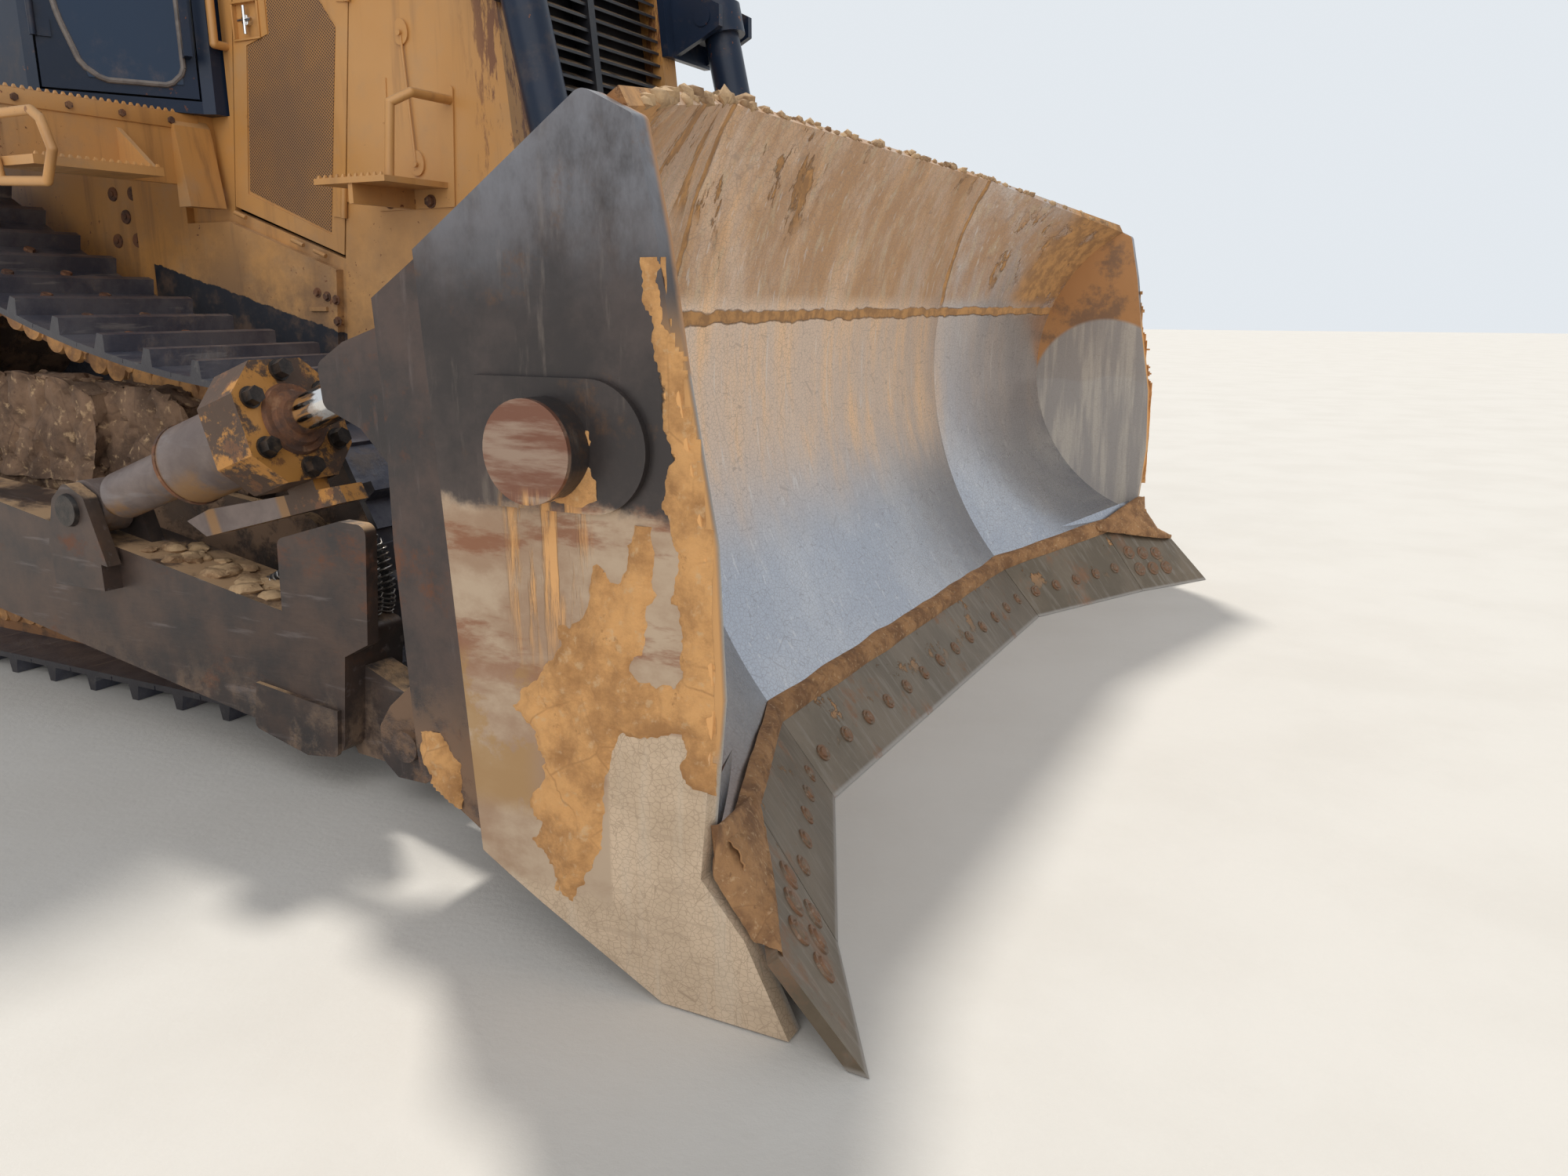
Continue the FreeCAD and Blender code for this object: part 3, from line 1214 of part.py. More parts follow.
yoke = fuse(
    plate("XZ_Plane", yoke_arm, -D.lift_y - yoke_half - 30, -D.lift_y - yoke_half),
    plate("XZ_Plane", yoke_arm, -D.lift_y + yoke_half, -D.lift_y + yoke_half + 30),
    plate("XZ_Plane", [(guard_face_x(2370), 2370), (guard_face_x(2370) + 30, 2370),
                       (guard_face_x(2640) + 30, 2640), (guard_face_x(2640), 2640)],
          -D.lift_y - yoke_half - 30, -D.grille_half))
both("lift_yokes", cut(yoke, rod("Y", D.lift_pin_r + D.pin_play, -D.lift_y - 200, -D.lift_y + 200,
                                D.lift_top_x, D.lift_top_z)))

# Push arms with the feet of the tilt cylinders
arm_out = D.arm_near + D.arm_wide
eye_y = -D.foot_eye_y
tilt = Line(D.tilt_base_x, D.tilt_base_z, D.tilt_eye_x, D.tilt_eye_z, -D.tilt_y)
base_ear = [(D.tilt_base_x - 130, 640), (D.tilt_base_x + 150, 600),
            (D.tilt_base_x + 75, D.tilt_base_z + 45, 20), (D.tilt_base_x - 10, D.tilt_base_z + 85, 30),
            (D.tilt_base_x - 80, D.tilt_base_z + 30, 20)]
ear_gap = D.tilt_eye_wide / 2 + D.side_play
arm = fuse(
    plate("XZ_Plane", [
        (D.trunnion_x, D.trunnion_z - 170), (85, 374), (1667, 121, 40), (1712, 488, 30), (184, 746),
        (D.trunnion_x, D.trunnion_z + 170)], -arm_out, -D.arm_near),
    rod("Y", 170, -arm_out, -D.arm_near, D.trunnion_x, D.trunnion_z),
    plate("XZ_Plane", [(1600, 180), (1640, 100), (D.foot_x - 20, D.foot_z - D.foot_eye_r),
                       (D.foot_x, D.foot_z + D.foot_eye_r), (1640, 400)],
          eye_y - D.foot_eye_wide / 2, eye_y + D.foot_eye_wide / 2),
    rod("Y", D.foot_eye_r, eye_y - D.foot_eye_wide / 2, eye_y + D.foot_eye_wide / 2, D.foot_x, D.foot_z),
    plate("XZ_Plane", [(1465, 400), (1660, 400), (1795, 470), (1825, 805, 30), (1725, 808), (1478, 738, 30)],
          -arm_out, -arm_out + D.arm_wall),
    plate("XZ_Plane", [(1345, 300), (1670, 262), (1655, 121, 20), (1533, 106, 20), (1322, 158, 20)],
          -arm_out - D.arm_shoe, -arm_out),
    plate("XZ_Plane", base_ear, -D.tilt_y - ear_gap - D.ear_thick, -D.tilt_y - ear_gap),
    plate("XZ_Plane", base_ear, -D.tilt_y + ear_gap, -D.tilt_y + ear_gap + D.ear_thick),
    box((D.tilt_base_x - 120, D.tilt_base_x + 120), (-D.tilt_y - ear_gap - D.ear_thick, -arm_out), (520, 650)),
    rod("Y", D.tilt_pin_r, -D.tilt_y - ear_gap - D.ear_thick, -D.tilt_y + ear_gap + D.ear_thick,
        D.tilt_base_x, D.tilt_base_z))
both("push_arms", cut(
    arm,
    rod("Y", D.trunnion_r + D.pin_play, -arm_out - 50, -D.arm_near + 50, D.trunnion_x, D.trunnion_z),
    rod("Y", D.foot_r + D.pin_play, eye_y - 100, eye_y + 100, D.foot_x, D.foot_z)))

# Tilt cylinders
head_start = D.tilt_tube_end
head_end = D.tilt_tube_end + D.tilt_head
half, corner = D.tilt_head_half, D.tilt_head_half - D.tilt_head_cut
pair("tilt_cylinder", cut(
    fuse(rod("Y", D.tilt_eye_r, -D.tilt_y - D.tilt_eye_wide / 2, -D.tilt_y + D.tilt_eye_wide / 2,
             D.tilt_base_x, D.tilt_base_z),
         tilt.round(50, 0, 140),
         tilt.round(D.tilt_neck_r, 125, D.tilt_neck_end),
         tilt.round(D.tilt_tube_r, D.tilt_neck_end, D.tilt_tube_end),
         tilt.slab([(-half, -corner), (-corner, -half), (corner, -half), (half, -corner), (half, corner),
                    (corner, half), (-corner, half), (-half, corner)], head_start, head_end),
         tilt.side([(357, -145), (420, -209), (1030, -260), (1022, -212), (468, -137)],
                   -D.tilt_y + 10, -D.tilt_y + 90),
         tilt.side([(head_start + 20, -230), (head_end - 20, -240), (head_end - 20, -half + 10),
                    (head_start + 20, -half + 10)], -D.tilt_y + 10, -D.tilt_y + 60)),
    rod("Y", D.tilt_pin_r + D.pin_play, -D.tilt_y - 100, -D.tilt_y + 100, D.tilt_base_x, D.tilt_base_z),
    tilt.round(D.tilt_rod_r + D.pin_play, D.tilt_neck_end, head_end + 10)))
pair("tilt_rod", fuse(
    tilt.round(D.tilt_rod_r, 580, tilt.long - 40),
    rod("Y", D.tilt_eye_r - 3, -D.tilt_y - D.tilt_eye_wide / 2, -D.tilt_y + D.tilt_eye_wide / 2,
        D.tilt_eye_x, D.tilt_eye_z)))


# Blade

def bow(low, middle, high):
    """Centre and radius of the circle through three points (x, z)."""
    arc = Part.Arc(*[V(point[0], 0, point[1]) for point in (low, middle, high)]).toShape().Curve
    return arc.Center, arc.Radius


def rear_points(points, tip, setback):
    """Three points behind the front face, the lowest of them square to the cutting edge."""
    low, middle, high = [V(point[0], 0, point[1]) for point in points]
    centre, radius = bow(*points)
    edge_line = (low - V(tip[0], 0, tip[1])).normalize()
    square = V(-edge_line.z, 0, edge_line.x)
    arm = low - centre
    slope = arm.dot(square)
    depth = math.sqrt(slope * slope - arm.dot(arm) + (radius + setback) ** 2) - slope
    return [low + square * depth] + [
        centre + (point - centre).normalize() * (radius + setback) for point in (middle, high)]


def closed_wire(front, back, y):
    """A wire at one y from a front and a rear chain of points; three points make an arc."""
    chains = [[V(point.x, y, point.z) for point in chain] for chain in (front, back)]
    sides = []
    for chain in chains:
        if len(chain) == 3:
            sides.append(Part.Arc(*chain).toShape())
        else:
            sides.append(Part.LineSegment(*chain).toShape())
    for start, finish in ((chains[0][-1], chains[1][-1]), (chains[1][0], chains[0][0])):
        sides.append(Part.LineSegment(start, finish).toShape())
    return Part.Wire(Part.__sortEdges__(sides))


def skin_section(points, tip, y):
    """Closed section of the moldboard plate at one y."""
    front = [V(point[0], 0, point[1]) for point in points]
    return closed_wire(front, rear_points(points, tip, skin), y)


def pt(*sizes):
    """Values of a list of Sizes."""
    return tuple(as_size(size).value for size in sizes)


fold = [pt(D.blade_low_x, D.blade_low), pt(D.blade_mid_x, D.blade_mid_z), pt(D.blade_top_x, D.blade_top_z)]
wing = [pt(D.wing_low_x, D.wing_low), pt(D.wing_mid_x, D.wing_mid_z), pt(D.wing_top_x, D.wing_top_z)]
fold_y, end_y = D.fold_y.value, D.end_y.value
skin = D.skin.value


def all_across(fold_wire, wing_wire):
    """Centre panel and both wings from a section at the folds and one at the ends."""
    centre = Part.makeLoft([fold_wire(-fold_y), fold_wire(fold_y)], True, True)
    right = Part.makeLoft([fold_wire(-fold_y), wing_wire(-end_y)], True, True)
    left = Part.makeLoft([fold_wire(fold_y), wing_wire(end_y)], True, True)
    return centre.fuse([right, left])


def flat_section(corners, y):
    """Closed section with straight sides at one y."""
    points = [V(x, y, z) for x, z in corners]
    return Part.makePolygon(points + points[:1])


def edge_corners(low, high, start, finish, near, far):
    """Corners of a bar along the edge line from its lower to its upper end, behind its face."""
    line = V(high[0] - low[0], 0, high[1] - low[1])
    unit = V(line).normalize()
    back = V(-unit.z, 0, unit.x)
    base = V(low[0], 0, low[1])
    spots = [base + line * start + back * near, base + line * finish + back * near,
             base + line * finish + back * far, base + line * start + back * far]
    return [(spot.x, spot.z) for spot in spots]


edge_low, edge_high = pt(D.edge_tip_x, 0), pt(D.blade_low_x, D.blade_low)
end_low, end_high = pt(D.end_tip_x, 0), pt(D.wing_low_x, D.wing_low)
thick = D.edge_thick.value


def worn_edge(low, high):
    """Section of a cutting edge: its tip on the ground and its foot worn back to a bevel."""
    tip, top, top_rear = edge_corners(low, high, 0, 0.985, 0, thick)[:3]
    foot = edge_corners(low, high, 0.12, 0.985, 0, thick)[3]
    return [tip, top, top_rear, foot]


skins = all_across(lambda y: skin_section(fold, edge_low, y), lambda y: skin_section(wing, end_low, y))
lip_near, lip_far = thick + D.seat_gap.value, thick + 40
lip = all_across(
    lambda y: flat_section(edge_corners(edge_low, edge_high, 0.45, 1.25, lip_near, lip_far), y),
    lambda y: flat_section(edge_corners(end_low, end_high, 0.45, 1.25, lip_near, lip_far), y))


def ahead_section(points, tip, y):
    """Closed section of all that lies ahead of the moldboard's rear face."""
    back = rear_points(points, tip, skin + D.seat_gap.value)
    ahead = D.bit_x.value + 500
    return closed_wire([V(ahead, 0, back[0].z), V(ahead, 0, back[2].z)], back, y)


def ahead_of_edge(low, high):
    """Corners of all that lies ahead of the lip's rear face."""
    rear = thick + 40 + D.seat_gap.value
    near_start, near_finish, far_finish, far_start = edge_corners(low, high, 0, 1.252, thick, rear)
    ahead = low[0] + 1000
    return [far_start, far_finish, near_finish, (ahead, near_finish[1]), (ahead, far_start[1])]


front_region = all_across(lambda y: ahead_section(fold, edge_low, y),
                          lambda y: ahead_section(wing, end_low, y))
low_region = all_across(lambda y: flat_section(ahead_of_edge(edge_low, edge_high), y),
                        lambda y: flat_section(ahead_of_edge(end_low, end_high), y))
moldboard_shape = skins.fuse(lip).removeSplitter()
node("moldboard", made(moldboard_shape, "Skin"))
joint = D.joint_y.value
edge_gap = D.edge_gap.value
bit_low, bit_high = pt(D.bit_x, 0), pt(D.bit_top_x, D.bit_top)


def on_wing(y):
    """Lower and upper end of the edge line on a wing, so far from the centre plane."""
    share = (y - fold_y) / (end_y - fold_y)
    return [(a[0] + (b[0] - a[0]) * share, a[1] + (b[1] - a[1]) * share)
            for a, b in ((edge_low, end_low), (edge_high, end_high))]


def edge_bar(low, high, y, next_low, next_high, next_y):
    """A cutting edge between two of its sections."""
    return Part.makeLoft([flat_section(worn_edge(low, high), y),
                          flat_section(worn_edge(next_low, next_high), next_y)], True, True)


centre_edge = edge_bar(edge_low, edge_high, -fold_y, edge_low, edge_high, fold_y)
wing_edge = made(edge_bar(*on_wing(fold_y + edge_gap), -fold_y - edge_gap, *on_wing(joint), -joint), "Edge")
node("cutting_edges", group(made(centre_edge, "Edge"), wing_edge, mirror(wing_edge)))
end_bit = made(edge_bar(*on_wing(joint + edge_gap), -joint - edge_gap,
                        bit_low, bit_high, -D.bit_y.value), "Bit")
both("end_bits", end_bit)

plate_in, plate_out = D.end_y, D.end_y + D.end_plate
end_plate = plate("XZ_Plane", [
    (2916, 1747, 30), (2507, 1483), (2586, 242), (2654, 202), (2746, 151), (3034, 3), (3320, 3), (3225, 192),
    (3130, 300), (3165, 656), (3153, 952), (3099, 1257), (3065, 1496), (3023, 1695, 20)],
    -plate_out, -plate_in)
pad_z = D.stub_z + 7
wear_pad = fuse(
    box((2650, 2915), (-plate_out - D.pad_thick, -plate_out), (pad_z - D.pad_r, pad_z + D.pad_r)),
    rod("Y", D.pad_r, -plate_out - D.pad_thick, -plate_out, 2915, pad_z),
    rod("Y", D.stub_r, -D.stub_out, -plate_out, D.stub_x, D.stub_z))
both("end_plates", cut(fuse(end_plate, wear_pad), end_bit))

beam_out = D.rear_plate_y
beams = [
    box((2215, 3300), (-beam_out, beam_out), (300, 800)),
    plate("XZ_Plane", [(2215, 300), (2458, 154), (3200, 154), (3200, 300)], -beam_out, beam_out),
    box((2310, 3300), (-beam_out, beam_out), (1190, 1440)),
]
side_plate = [(2408, 1518), (2205, 1393), (2217, 1192), (2213, 838), (2235, 347), (2241, 288), (2458, 154),
              (2900, 154), (2900, 1518)]
ear_row = []
for side in (-1, 1):
    outer = D.rear_plate_y if side > 0 else -D.rear_plate_y - D.rear_plate
    ear_row.append(plate("XZ_Plane", side_plate, outer, outer + D.rear_plate))
for rib_y in (-1350, -480, 480, 1350):
    ear_row.append(plate("XZ_Plane", [(2215, 800), (2310, 1190), (2310, 1440), (2900, 1440), (2900, 800)],
                         rib_y - 20, rib_y + 20))
lift_ear = [(2215, 420), (D.lift_eye_x - 20, D.lift_eye_z - 98), (D.lift_eye_x - 90, D.lift_eye_z - 50, 20),
            (D.lift_eye_x - 90, D.lift_eye_z + 50, 20), (D.lift_eye_x - 40, D.lift_eye_z + 98), (2130, 758),
            (2215, 780)]
foot_ear = [(2215, 620), (D.foot_x - 60, D.foot_z + 105), (D.foot_x - 105, D.foot_z + 40, 30),
            (D.foot_x - 105, D.foot_z - 60, 30),
            (D.foot_x - 50, D.foot_z - 105), (D.foot_x + 50, D.foot_z - 105),
            (2241, 288)]
tilt_ear = [(2215, 760), (D.tilt_eye_x + 40, D.tilt_eye_z - 110), (D.tilt_eye_x - 85, D.tilt_eye_z - 60, 30),
            (D.tilt_eye_x - 95, D.tilt_eye_z + 50, 30), (D.tilt_eye_x, D.tilt_eye_z + 105, 30), (2205, 1393)]


def ears(outline, y, gap, thickness):
    """Two like plates on both sides of an eye."""
    return [plate("XZ_Plane", outline, y - gap - thickness, y - gap),
            plate("XZ_Plane", outline, y + gap, y + gap + thickness)]


lift_gap = D.lift_eye_wide / 2 + 15
foot_gap = D.foot_eye_wide / 2 + D.side_play
for side in (-1, 1):
    ear_row += ears(lift_ear, D.lift_y * side, lift_gap, D.ear_thick)
    ear_row += ears(foot_ear, D.foot_eye_y * side, foot_gap, D.ear_thick)
    ear_row += ears(tilt_ear, D.tilt_y * side, ear_gap, D.ear_thick)
    reach = foot_gap + D.ear_thick
    ear_row.append(rod("Y", D.foot_r, D.foot_eye_y * side - reach - 20, D.foot_eye_y * side + reach + 20,
                       D.foot_x, D.foot_z))
    ear_row.append(box((2205, 2330), (D.tilt_y * side - ear_gap - D.ear_thick, D.tilt_y * side + ear_gap
                                      + D.ear_thick), (780, 1393)))
region = made(front_region.fuse(low_region), "Region")
node("blade_frame", cut(fuse(*beams, *ear_row), region))


# Writing

def check_and_write():
    """Stop at anything that failed, then write each sub-part."""
    doc.recompute()
    for thing in doc.Objects:
        state = list(thing.State)
        if "Invalid" in state or "Error" in state:
            raise RuntimeError(f"{thing.Name} {thing.Label}: {state}")
    bad = []
    for piece in nodes:
        shape = piece.Shape
        if shape.isNull() or not shape.isValid() or not shape.Solids:
            bad.append(piece.Label)
    if bad:
        raise RuntimeError(f"no valid shape: {bad}")
    for piece in nodes:
        piece.Shape.exportStep(os.path.join(NODE_FOLDER, f"{piece.Label}.step"))
    print(len(nodes), "sub-parts written")


check_and_write()
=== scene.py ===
import math
import random

import bmesh
import bpy
from bpy.props import FloatProperty, FloatVectorProperty, IntProperty, PointerProperty
from mathutils import Matrix, Vector, noise


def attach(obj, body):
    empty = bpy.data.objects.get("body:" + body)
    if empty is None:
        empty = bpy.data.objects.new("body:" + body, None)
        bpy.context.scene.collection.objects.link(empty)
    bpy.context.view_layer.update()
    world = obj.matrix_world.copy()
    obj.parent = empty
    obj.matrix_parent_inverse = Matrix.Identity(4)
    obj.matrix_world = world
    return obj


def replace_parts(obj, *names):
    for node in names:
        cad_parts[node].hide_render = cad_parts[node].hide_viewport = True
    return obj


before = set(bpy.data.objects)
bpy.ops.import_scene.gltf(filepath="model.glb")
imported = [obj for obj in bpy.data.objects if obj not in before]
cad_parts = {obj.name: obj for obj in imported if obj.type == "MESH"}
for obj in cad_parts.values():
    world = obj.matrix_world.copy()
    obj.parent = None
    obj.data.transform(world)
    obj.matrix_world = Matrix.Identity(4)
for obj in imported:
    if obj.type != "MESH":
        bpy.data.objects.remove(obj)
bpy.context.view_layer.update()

bl_info = {
    "name": "Bulldozer finish",
    "version": (1, 0, 0),
    "blender": (4, 5, 0),
    "location": "View3D > Sidebar > Bulldozer",
    "description": "Paint, wear, bolts, earth and stage for the packed bulldozer",
    "category": "Object",
}

SIDES = ((-1, "right"), (1, "left"))
# From the machine's middle to the middle of a track
TRACK_Y = 1.125


# Settings

def colour(name, text, value):
    return FloatVectorProperty(name=name, description=text, subtype="COLOR", size=3, min=0, max=1,
                               default=value)


def length(name, text, value):
    return FloatProperty(name=name, description=text, unit="LENGTH", min=0, default=value)


class DozerColours(bpy.types.PropertyGroup):
    yellow: colour("Yellow", "Machine paint on guards and doors", (0.500, 0.232, 0.056))
    yellow_pale: colour("Faded yellow", "Paint bleached by the sun", (0.570, 0.305, 0.115))
    navy: colour("Dark blue", "Paint of the cab and the lift cylinders", (0.011, 0.019, 0.038))
    dust: colour("Dust", "Dry dust on paint and steel", (0.420, 0.270, 0.150))
    clay: colour("Clay", "Orange clay stuck to the blade", (0.700, 0.375, 0.145))
    mud: colour("Mud", "Dried mud packed above the track frames", (0.215, 0.130, 0.080))
    rust: colour("Rust", "Rust on bare edges", (0.170, 0.062, 0.026))
    # Polished steel: a grey whose cool blue tint is a painted reflection of the sky.
    steel_and_sky_tint: colour("Polished steel", "Steel scoured bright by the load", (0.405, 0.425, 0.470))
    scale: colour("Dark steel", "Blackened steel of plates and arms", (0.050, 0.043, 0.042))
    floor: colour("Floor", "Plain pale floor", (0.640, 0.615, 0.580))


class DozerBolts(bpy.types.PropertyGroup):
    edge_bolt: length("Edge bolt", "Diameter of a bolt head in the cutting edges", 0.056)
    bit_bolt: length("Bit bolt", "Diameter of a bolt head in the end bits", 0.074)
    centre_count: IntProperty(name="Centre bolts", description="Bolts in the centre edge", default=13, min=1)
    wing_count: IntProperty(name="Wing bolts", description="Bolts in one wing edge", default=5, min=1)
    head_bolt: length("Head bolt", "Across the flats of a bolt in the tilt cylinder's head", 0.045)
    panel_bolt: length("Panel bolt", "Across the flats of a small panel bolt", 0.024)


class DozerEarth(bpy.types.PropertyGroup):
    crust: length("Clay crust", "Thickness of the clay on the end plates", 0.020)
    ledge: length("Clay ledge", "Thickness of the clay above the cutting edges", 0.024)
    crumb_count: IntProperty(name="Crumbs", description="Clods along the top of the blade", default=150, min=0)


class DozerStage(bpy.types.PropertyGroup):
    lens: FloatProperty(name="Lens", description="Focal length of the camera in millimetres", default=26.87)
    sky: FloatProperty(name="Sky", description="Strength of the even light from all round", default=0.50, min=0)
    sun: FloatProperty(name="Sun", description="Strength of the light from behind", default=2.75, min=0)
    fill: FloatProperty(name="Fill", description="Strength of the soft light from the camera's side",
                        default=1.35, min=0)


GROUPS = {"dozer_colours": DozerColours, "dozer_bolts": DozerBolts, "dozer_earth": DozerEarth,
          "dozer_stage": DozerStage}


def shade(name):
    """A named colour of the scene."""
    return tuple(getattr(bpy.context.scene.dozer_colours, name))


# Finishes

class Finish:
    """One procedural material. Its methods add nodes and give back their output sockets."""

    def __init__(self, name):
        self.material = bpy.data.materials.new(name)
        self.material.use_nodes = True
        self.tree = self.material.node_tree
        self.tree.nodes.clear()
        output = self.add("ShaderNodeOutputMaterial")
        self.shader = self.add("ShaderNodeBsdfPrincipled")
        self.tree.links.new(self.shader.outputs[0], output.inputs["Surface"])
        self.place = self.add("ShaderNodeTexCoord").outputs["Object"]
        self.x, self.y, self.z = self.add("ShaderNodeSeparateXYZ", self.place).outputs
        self.out = self.calc("ABSOLUTE", self.y)
        self.base = self.normal = None

    def add(self, kind, *values, **options):
        """A new node: options are its settings, values go to its sockets in order."""
        node = self.tree.nodes.new(kind)
        for option, value in options.items():
            setattr(node, option, value)
        for socket, value in zip(node.inputs, values):
            self.feed(socket, value)
        return node

    def feed(self, socket, value):
        """Link a socket to a node's socket, or set its value. A colour may be named."""
        if value is None:
            return
        if isinstance(value, bpy.types.NodeSocket):
            self.tree.links.new(value, socket)
        elif socket.type == "RGBA":
            socket.default_value = (*(shade(value) if isinstance(value, str) else value), 1)
        else:
            socket.default_value = value

    def set(self, **values):
        """Sockets of the shader, with _ for a space."""
        for name, value in values.items():
            self.feed(self.shader.inputs[name.replace("_", " ")], value)

    def calc(self, work, a, b=None):
        return self.add("ShaderNodeMath", a, b, operation=work).outputs[0]

    def both(self, a, *others):
        """Masks multiplied."""
        for other in others:
            a = self.calc("MULTIPLY", a, other)
        return a

    def either(self, a, *others):
        """The stronger of some masks."""
        for other in others:
            a = self.calc("MAXIMUM", a, other)
        return a

    def step(self, value, low, high, most=1.0):
        """0 before low, most after high, and smooth between them. High may be the smaller."""
        if low < high:
            ends = (low, high, 0.0, most)
        else:
            ends = (high, low, most, 0.0)
        return self.add("ShaderNodeMapRange", value, *ends, interpolation_type="SMOOTHSTEP").outputs[0]

    def range(self, value, low, high):
        """0 to 1 as low to high."""
        return self.add("ShaderNodeMapRange", value, 0.0, 1.0, low, high).outputs[0]

    def spot(self, stretch=(1, 1, 1), seed=0, turn=(0, 0, 0)):
        """Object coordinates, stretched, turned and moved aside by the seed."""
        shift = (seed * 7.31, seed * 3.17, seed * 5.71)
        return self.add("ShaderNodeMapping", self.place, shift, tuple(math.radians(a) for a in turn),
                        stretch).outputs[0]

    def noise(self, scale, detail=4.0, rough=0.55, seed=0, stretch=(1, 1, 1), turn=(0, 0, 0)):
        node = self.add("ShaderNodeTexNoise")
        for name, value in (("Vector", self.spot(stretch, seed, turn)), ("Scale", scale), ("Detail", detail),
                            ("Roughness", rough)):
            self.feed(node.inputs[name], value)
        return node.outputs[0]

    def patch(self, span, *grain, **place):
        """A mask of noise. The span says where it starts, where it is full and, if not 1, how strong."""
        return self.step(self.noise(*grain, **place), *span)

    def cracks(self, scale, width, seed=0, stretch=(1, 1, 1)):
        """1 on the lines of a crackle."""
        node = self.add("ShaderNodeTexVoronoi", feature="DISTANCE_TO_EDGE")
        self.feed(node.inputs["Vector"], self.spot(stretch, seed))
        self.feed(node.inputs["Scale"], scale)
        return self.step(node.outputs[0], width, 0.0)

    def near(self, value, middle, half, soft):
        """1 where the value is within half of the middle."""
        away = self.calc("ABSOLUTE", self.calc("SUBTRACT", value, middle))
        return self.step(away, half + soft, half)

    def mix(self, share, a, b):
        node = self.add("ShaderNodeMix", data_type="RGBA")
        for number, value in ((0, share), (6, a), (7, b)):
            self.feed(node.inputs[number], value)
        return node.outputs[2]

    def tones(self, share, first, second):
        """Start the base colour with two tones."""
        self.base = self.mix(share, first, second)

    def coat(self, mask, colour):
        """Lay a colour over the base where the mask is 1."""
        self.base = self.mix(mask, self.base, colour)

    def bump(self, height, depth, strength=1.0):
        node = self.add("ShaderNodeBump")
        for name, value in (("Strength", strength), ("Distance", depth), ("Height", height),
                            ("Normal", self.normal)):
            self.feed(node.inputs[name], value)
        self.normal = node.outputs[0]

    def facing(self, axis):
        """How far a face looks along an axis, from -1 to 1."""
        parts = self.add("ShaderNodeSeparateXYZ", self.add("ShaderNodeNewGeometry").outputs["Normal"])
        return parts.outputs[axis]

    def done(self, roughness, metallic=0.0):
        self.set(Base_Color=self.base, Roughness=roughness, Metallic=metallic, Normal=self.normal)


def paint(f, front_scuffs=False, grime=1.0, black_below=False):
    """Faded machine yellow with dust, runs, chips and rust, and black on the hull side under the panels."""
    fade = f.patch((0.36, 0.68), 0.8, seed=1)
    f.tones(fade, "yellow", "yellow_pale")
    blotch = f.patch((0.46, 0.74, 0.42 * grime), 4.5, 7, 0.66, seed=2)
    f.coat(blotch, "dust")
    runs = f.patch((0.52, 0.72, 0.38 * grime), 13, 6, 0.6, seed=3, stretch=(1, 1, 0.07))
    f.coat(runs, (0.210, 0.105, 0.048))
    low = f.both(f.step(f.z, 1.95, 1.25), f.patch((0.36, 0.62, 0.62 * grime), 2.6, 7, 0.7, seed=5))
    f.coat(low, (0.200, 0.118, 0.066))
    top = f.both(f.step(f.facing(2), 0.35, 0.9), f.patch((0.30, 0.62, 0.75), 3.2, 6, 0.65, seed=6))
    f.coat(top, "dust")
    chips = f.both(f.patch((0.655, 0.675), 42, 4, 0.6, seed=4), f.patch((0.50, 0.60), 2.4, 4, seed=8))
    if front_scuffs:
        edge = f.step(f.calc("ADD", f.x, f.calc("MULTIPLY", f.z, 0.096)), 1.42, 1.56)
        torn = f.patch((0.50, 0.56, 0.9), 11, 8, 0.74, seed=9, stretch=(1, 1, 0.22))
        chips = f.either(chips, f.both(edge, torn))
    f.coat(chips, "rust")
    if black_below:
        line = f.calc("ADD", f.z, f.calc("MULTIPLY", f.calc("ADD", f.x, 0.381), 0.261))
        line = f.calc("ADD", line, f.calc("MULTIPLY", f.calc("SUBTRACT", f.noise(14, 6, 0.7, seed=12), 0.5),
                                          0.045))
        black = f.both(f.step(line, 1.520, 1.516), f.step(f.x, -0.478, -0.474), f.step(f.out, 0.622, 0.618))
        tone = f.mix(f.patch((0.46, 0.66, 0.5), 5, 7, 0.68, seed=11), (0.012, 0.014, 0.022), "mud")
        f.coat(black, tone)
    f.bump(f.noise(24, 4, seed=10), 0.0015, 0.35)
    f.bump(f.either(blotch, chips), 0.001, 0.6)
    f.done(f.range(f.either(blotch, low, top), 0.42, 0.82))


def navy(f, dusty=0.12):
    """Dark blue-black paint with dust on what faces up and small chips."""
    f.tones(f.patch((0.35, 0.7), 2.2, 5, seed=1), "navy", (0.014, 0.024, 0.050))
    film = f.patch((0.50, 0.80, dusty), 6, 7, 0.68, seed=2)
    top = f.both(f.step(f.facing(2), 0.2, 0.85), f.patch((0.3, 0.6, 0.45), 4, 5, seed=3))
    film = f.either(film, top)
    f.coat(film, "dust")
    chips = f.both(f.patch((0.66, 0.69), 36, 4, seed=4), f.patch((0.48, 0.6), 3, 3, seed=5))
    f.coat(chips, "rust")
    f.set(Specular_IOR_Level=0.25)
    f.bump(f.noise(30, 3, seed=6), 0.001, 0.3)
    f.done(f.range(film, 0.36, 0.85))


def hull(f):
    """Lower hull: rough black coating under caked mud."""
    grain = f.noise(38, 6, 0.7, seed=1)
    f.tones(f.step(grain, 0.35, 0.7), (0.010, 0.012, 0.020), (0.030, 0.032, 0.044))
    mud = f.patch((0.50, 0.62), 3.4, 8, 0.7, seed=2)
    low = f.both(f.step(f.z, 1.25, 0.75), mud)
    f.coat(low, "mud")
    f.bump(grain, 0.004, 0.7)
    f.bump(mud, 0.006, 0.6)
    f.done(0.86)


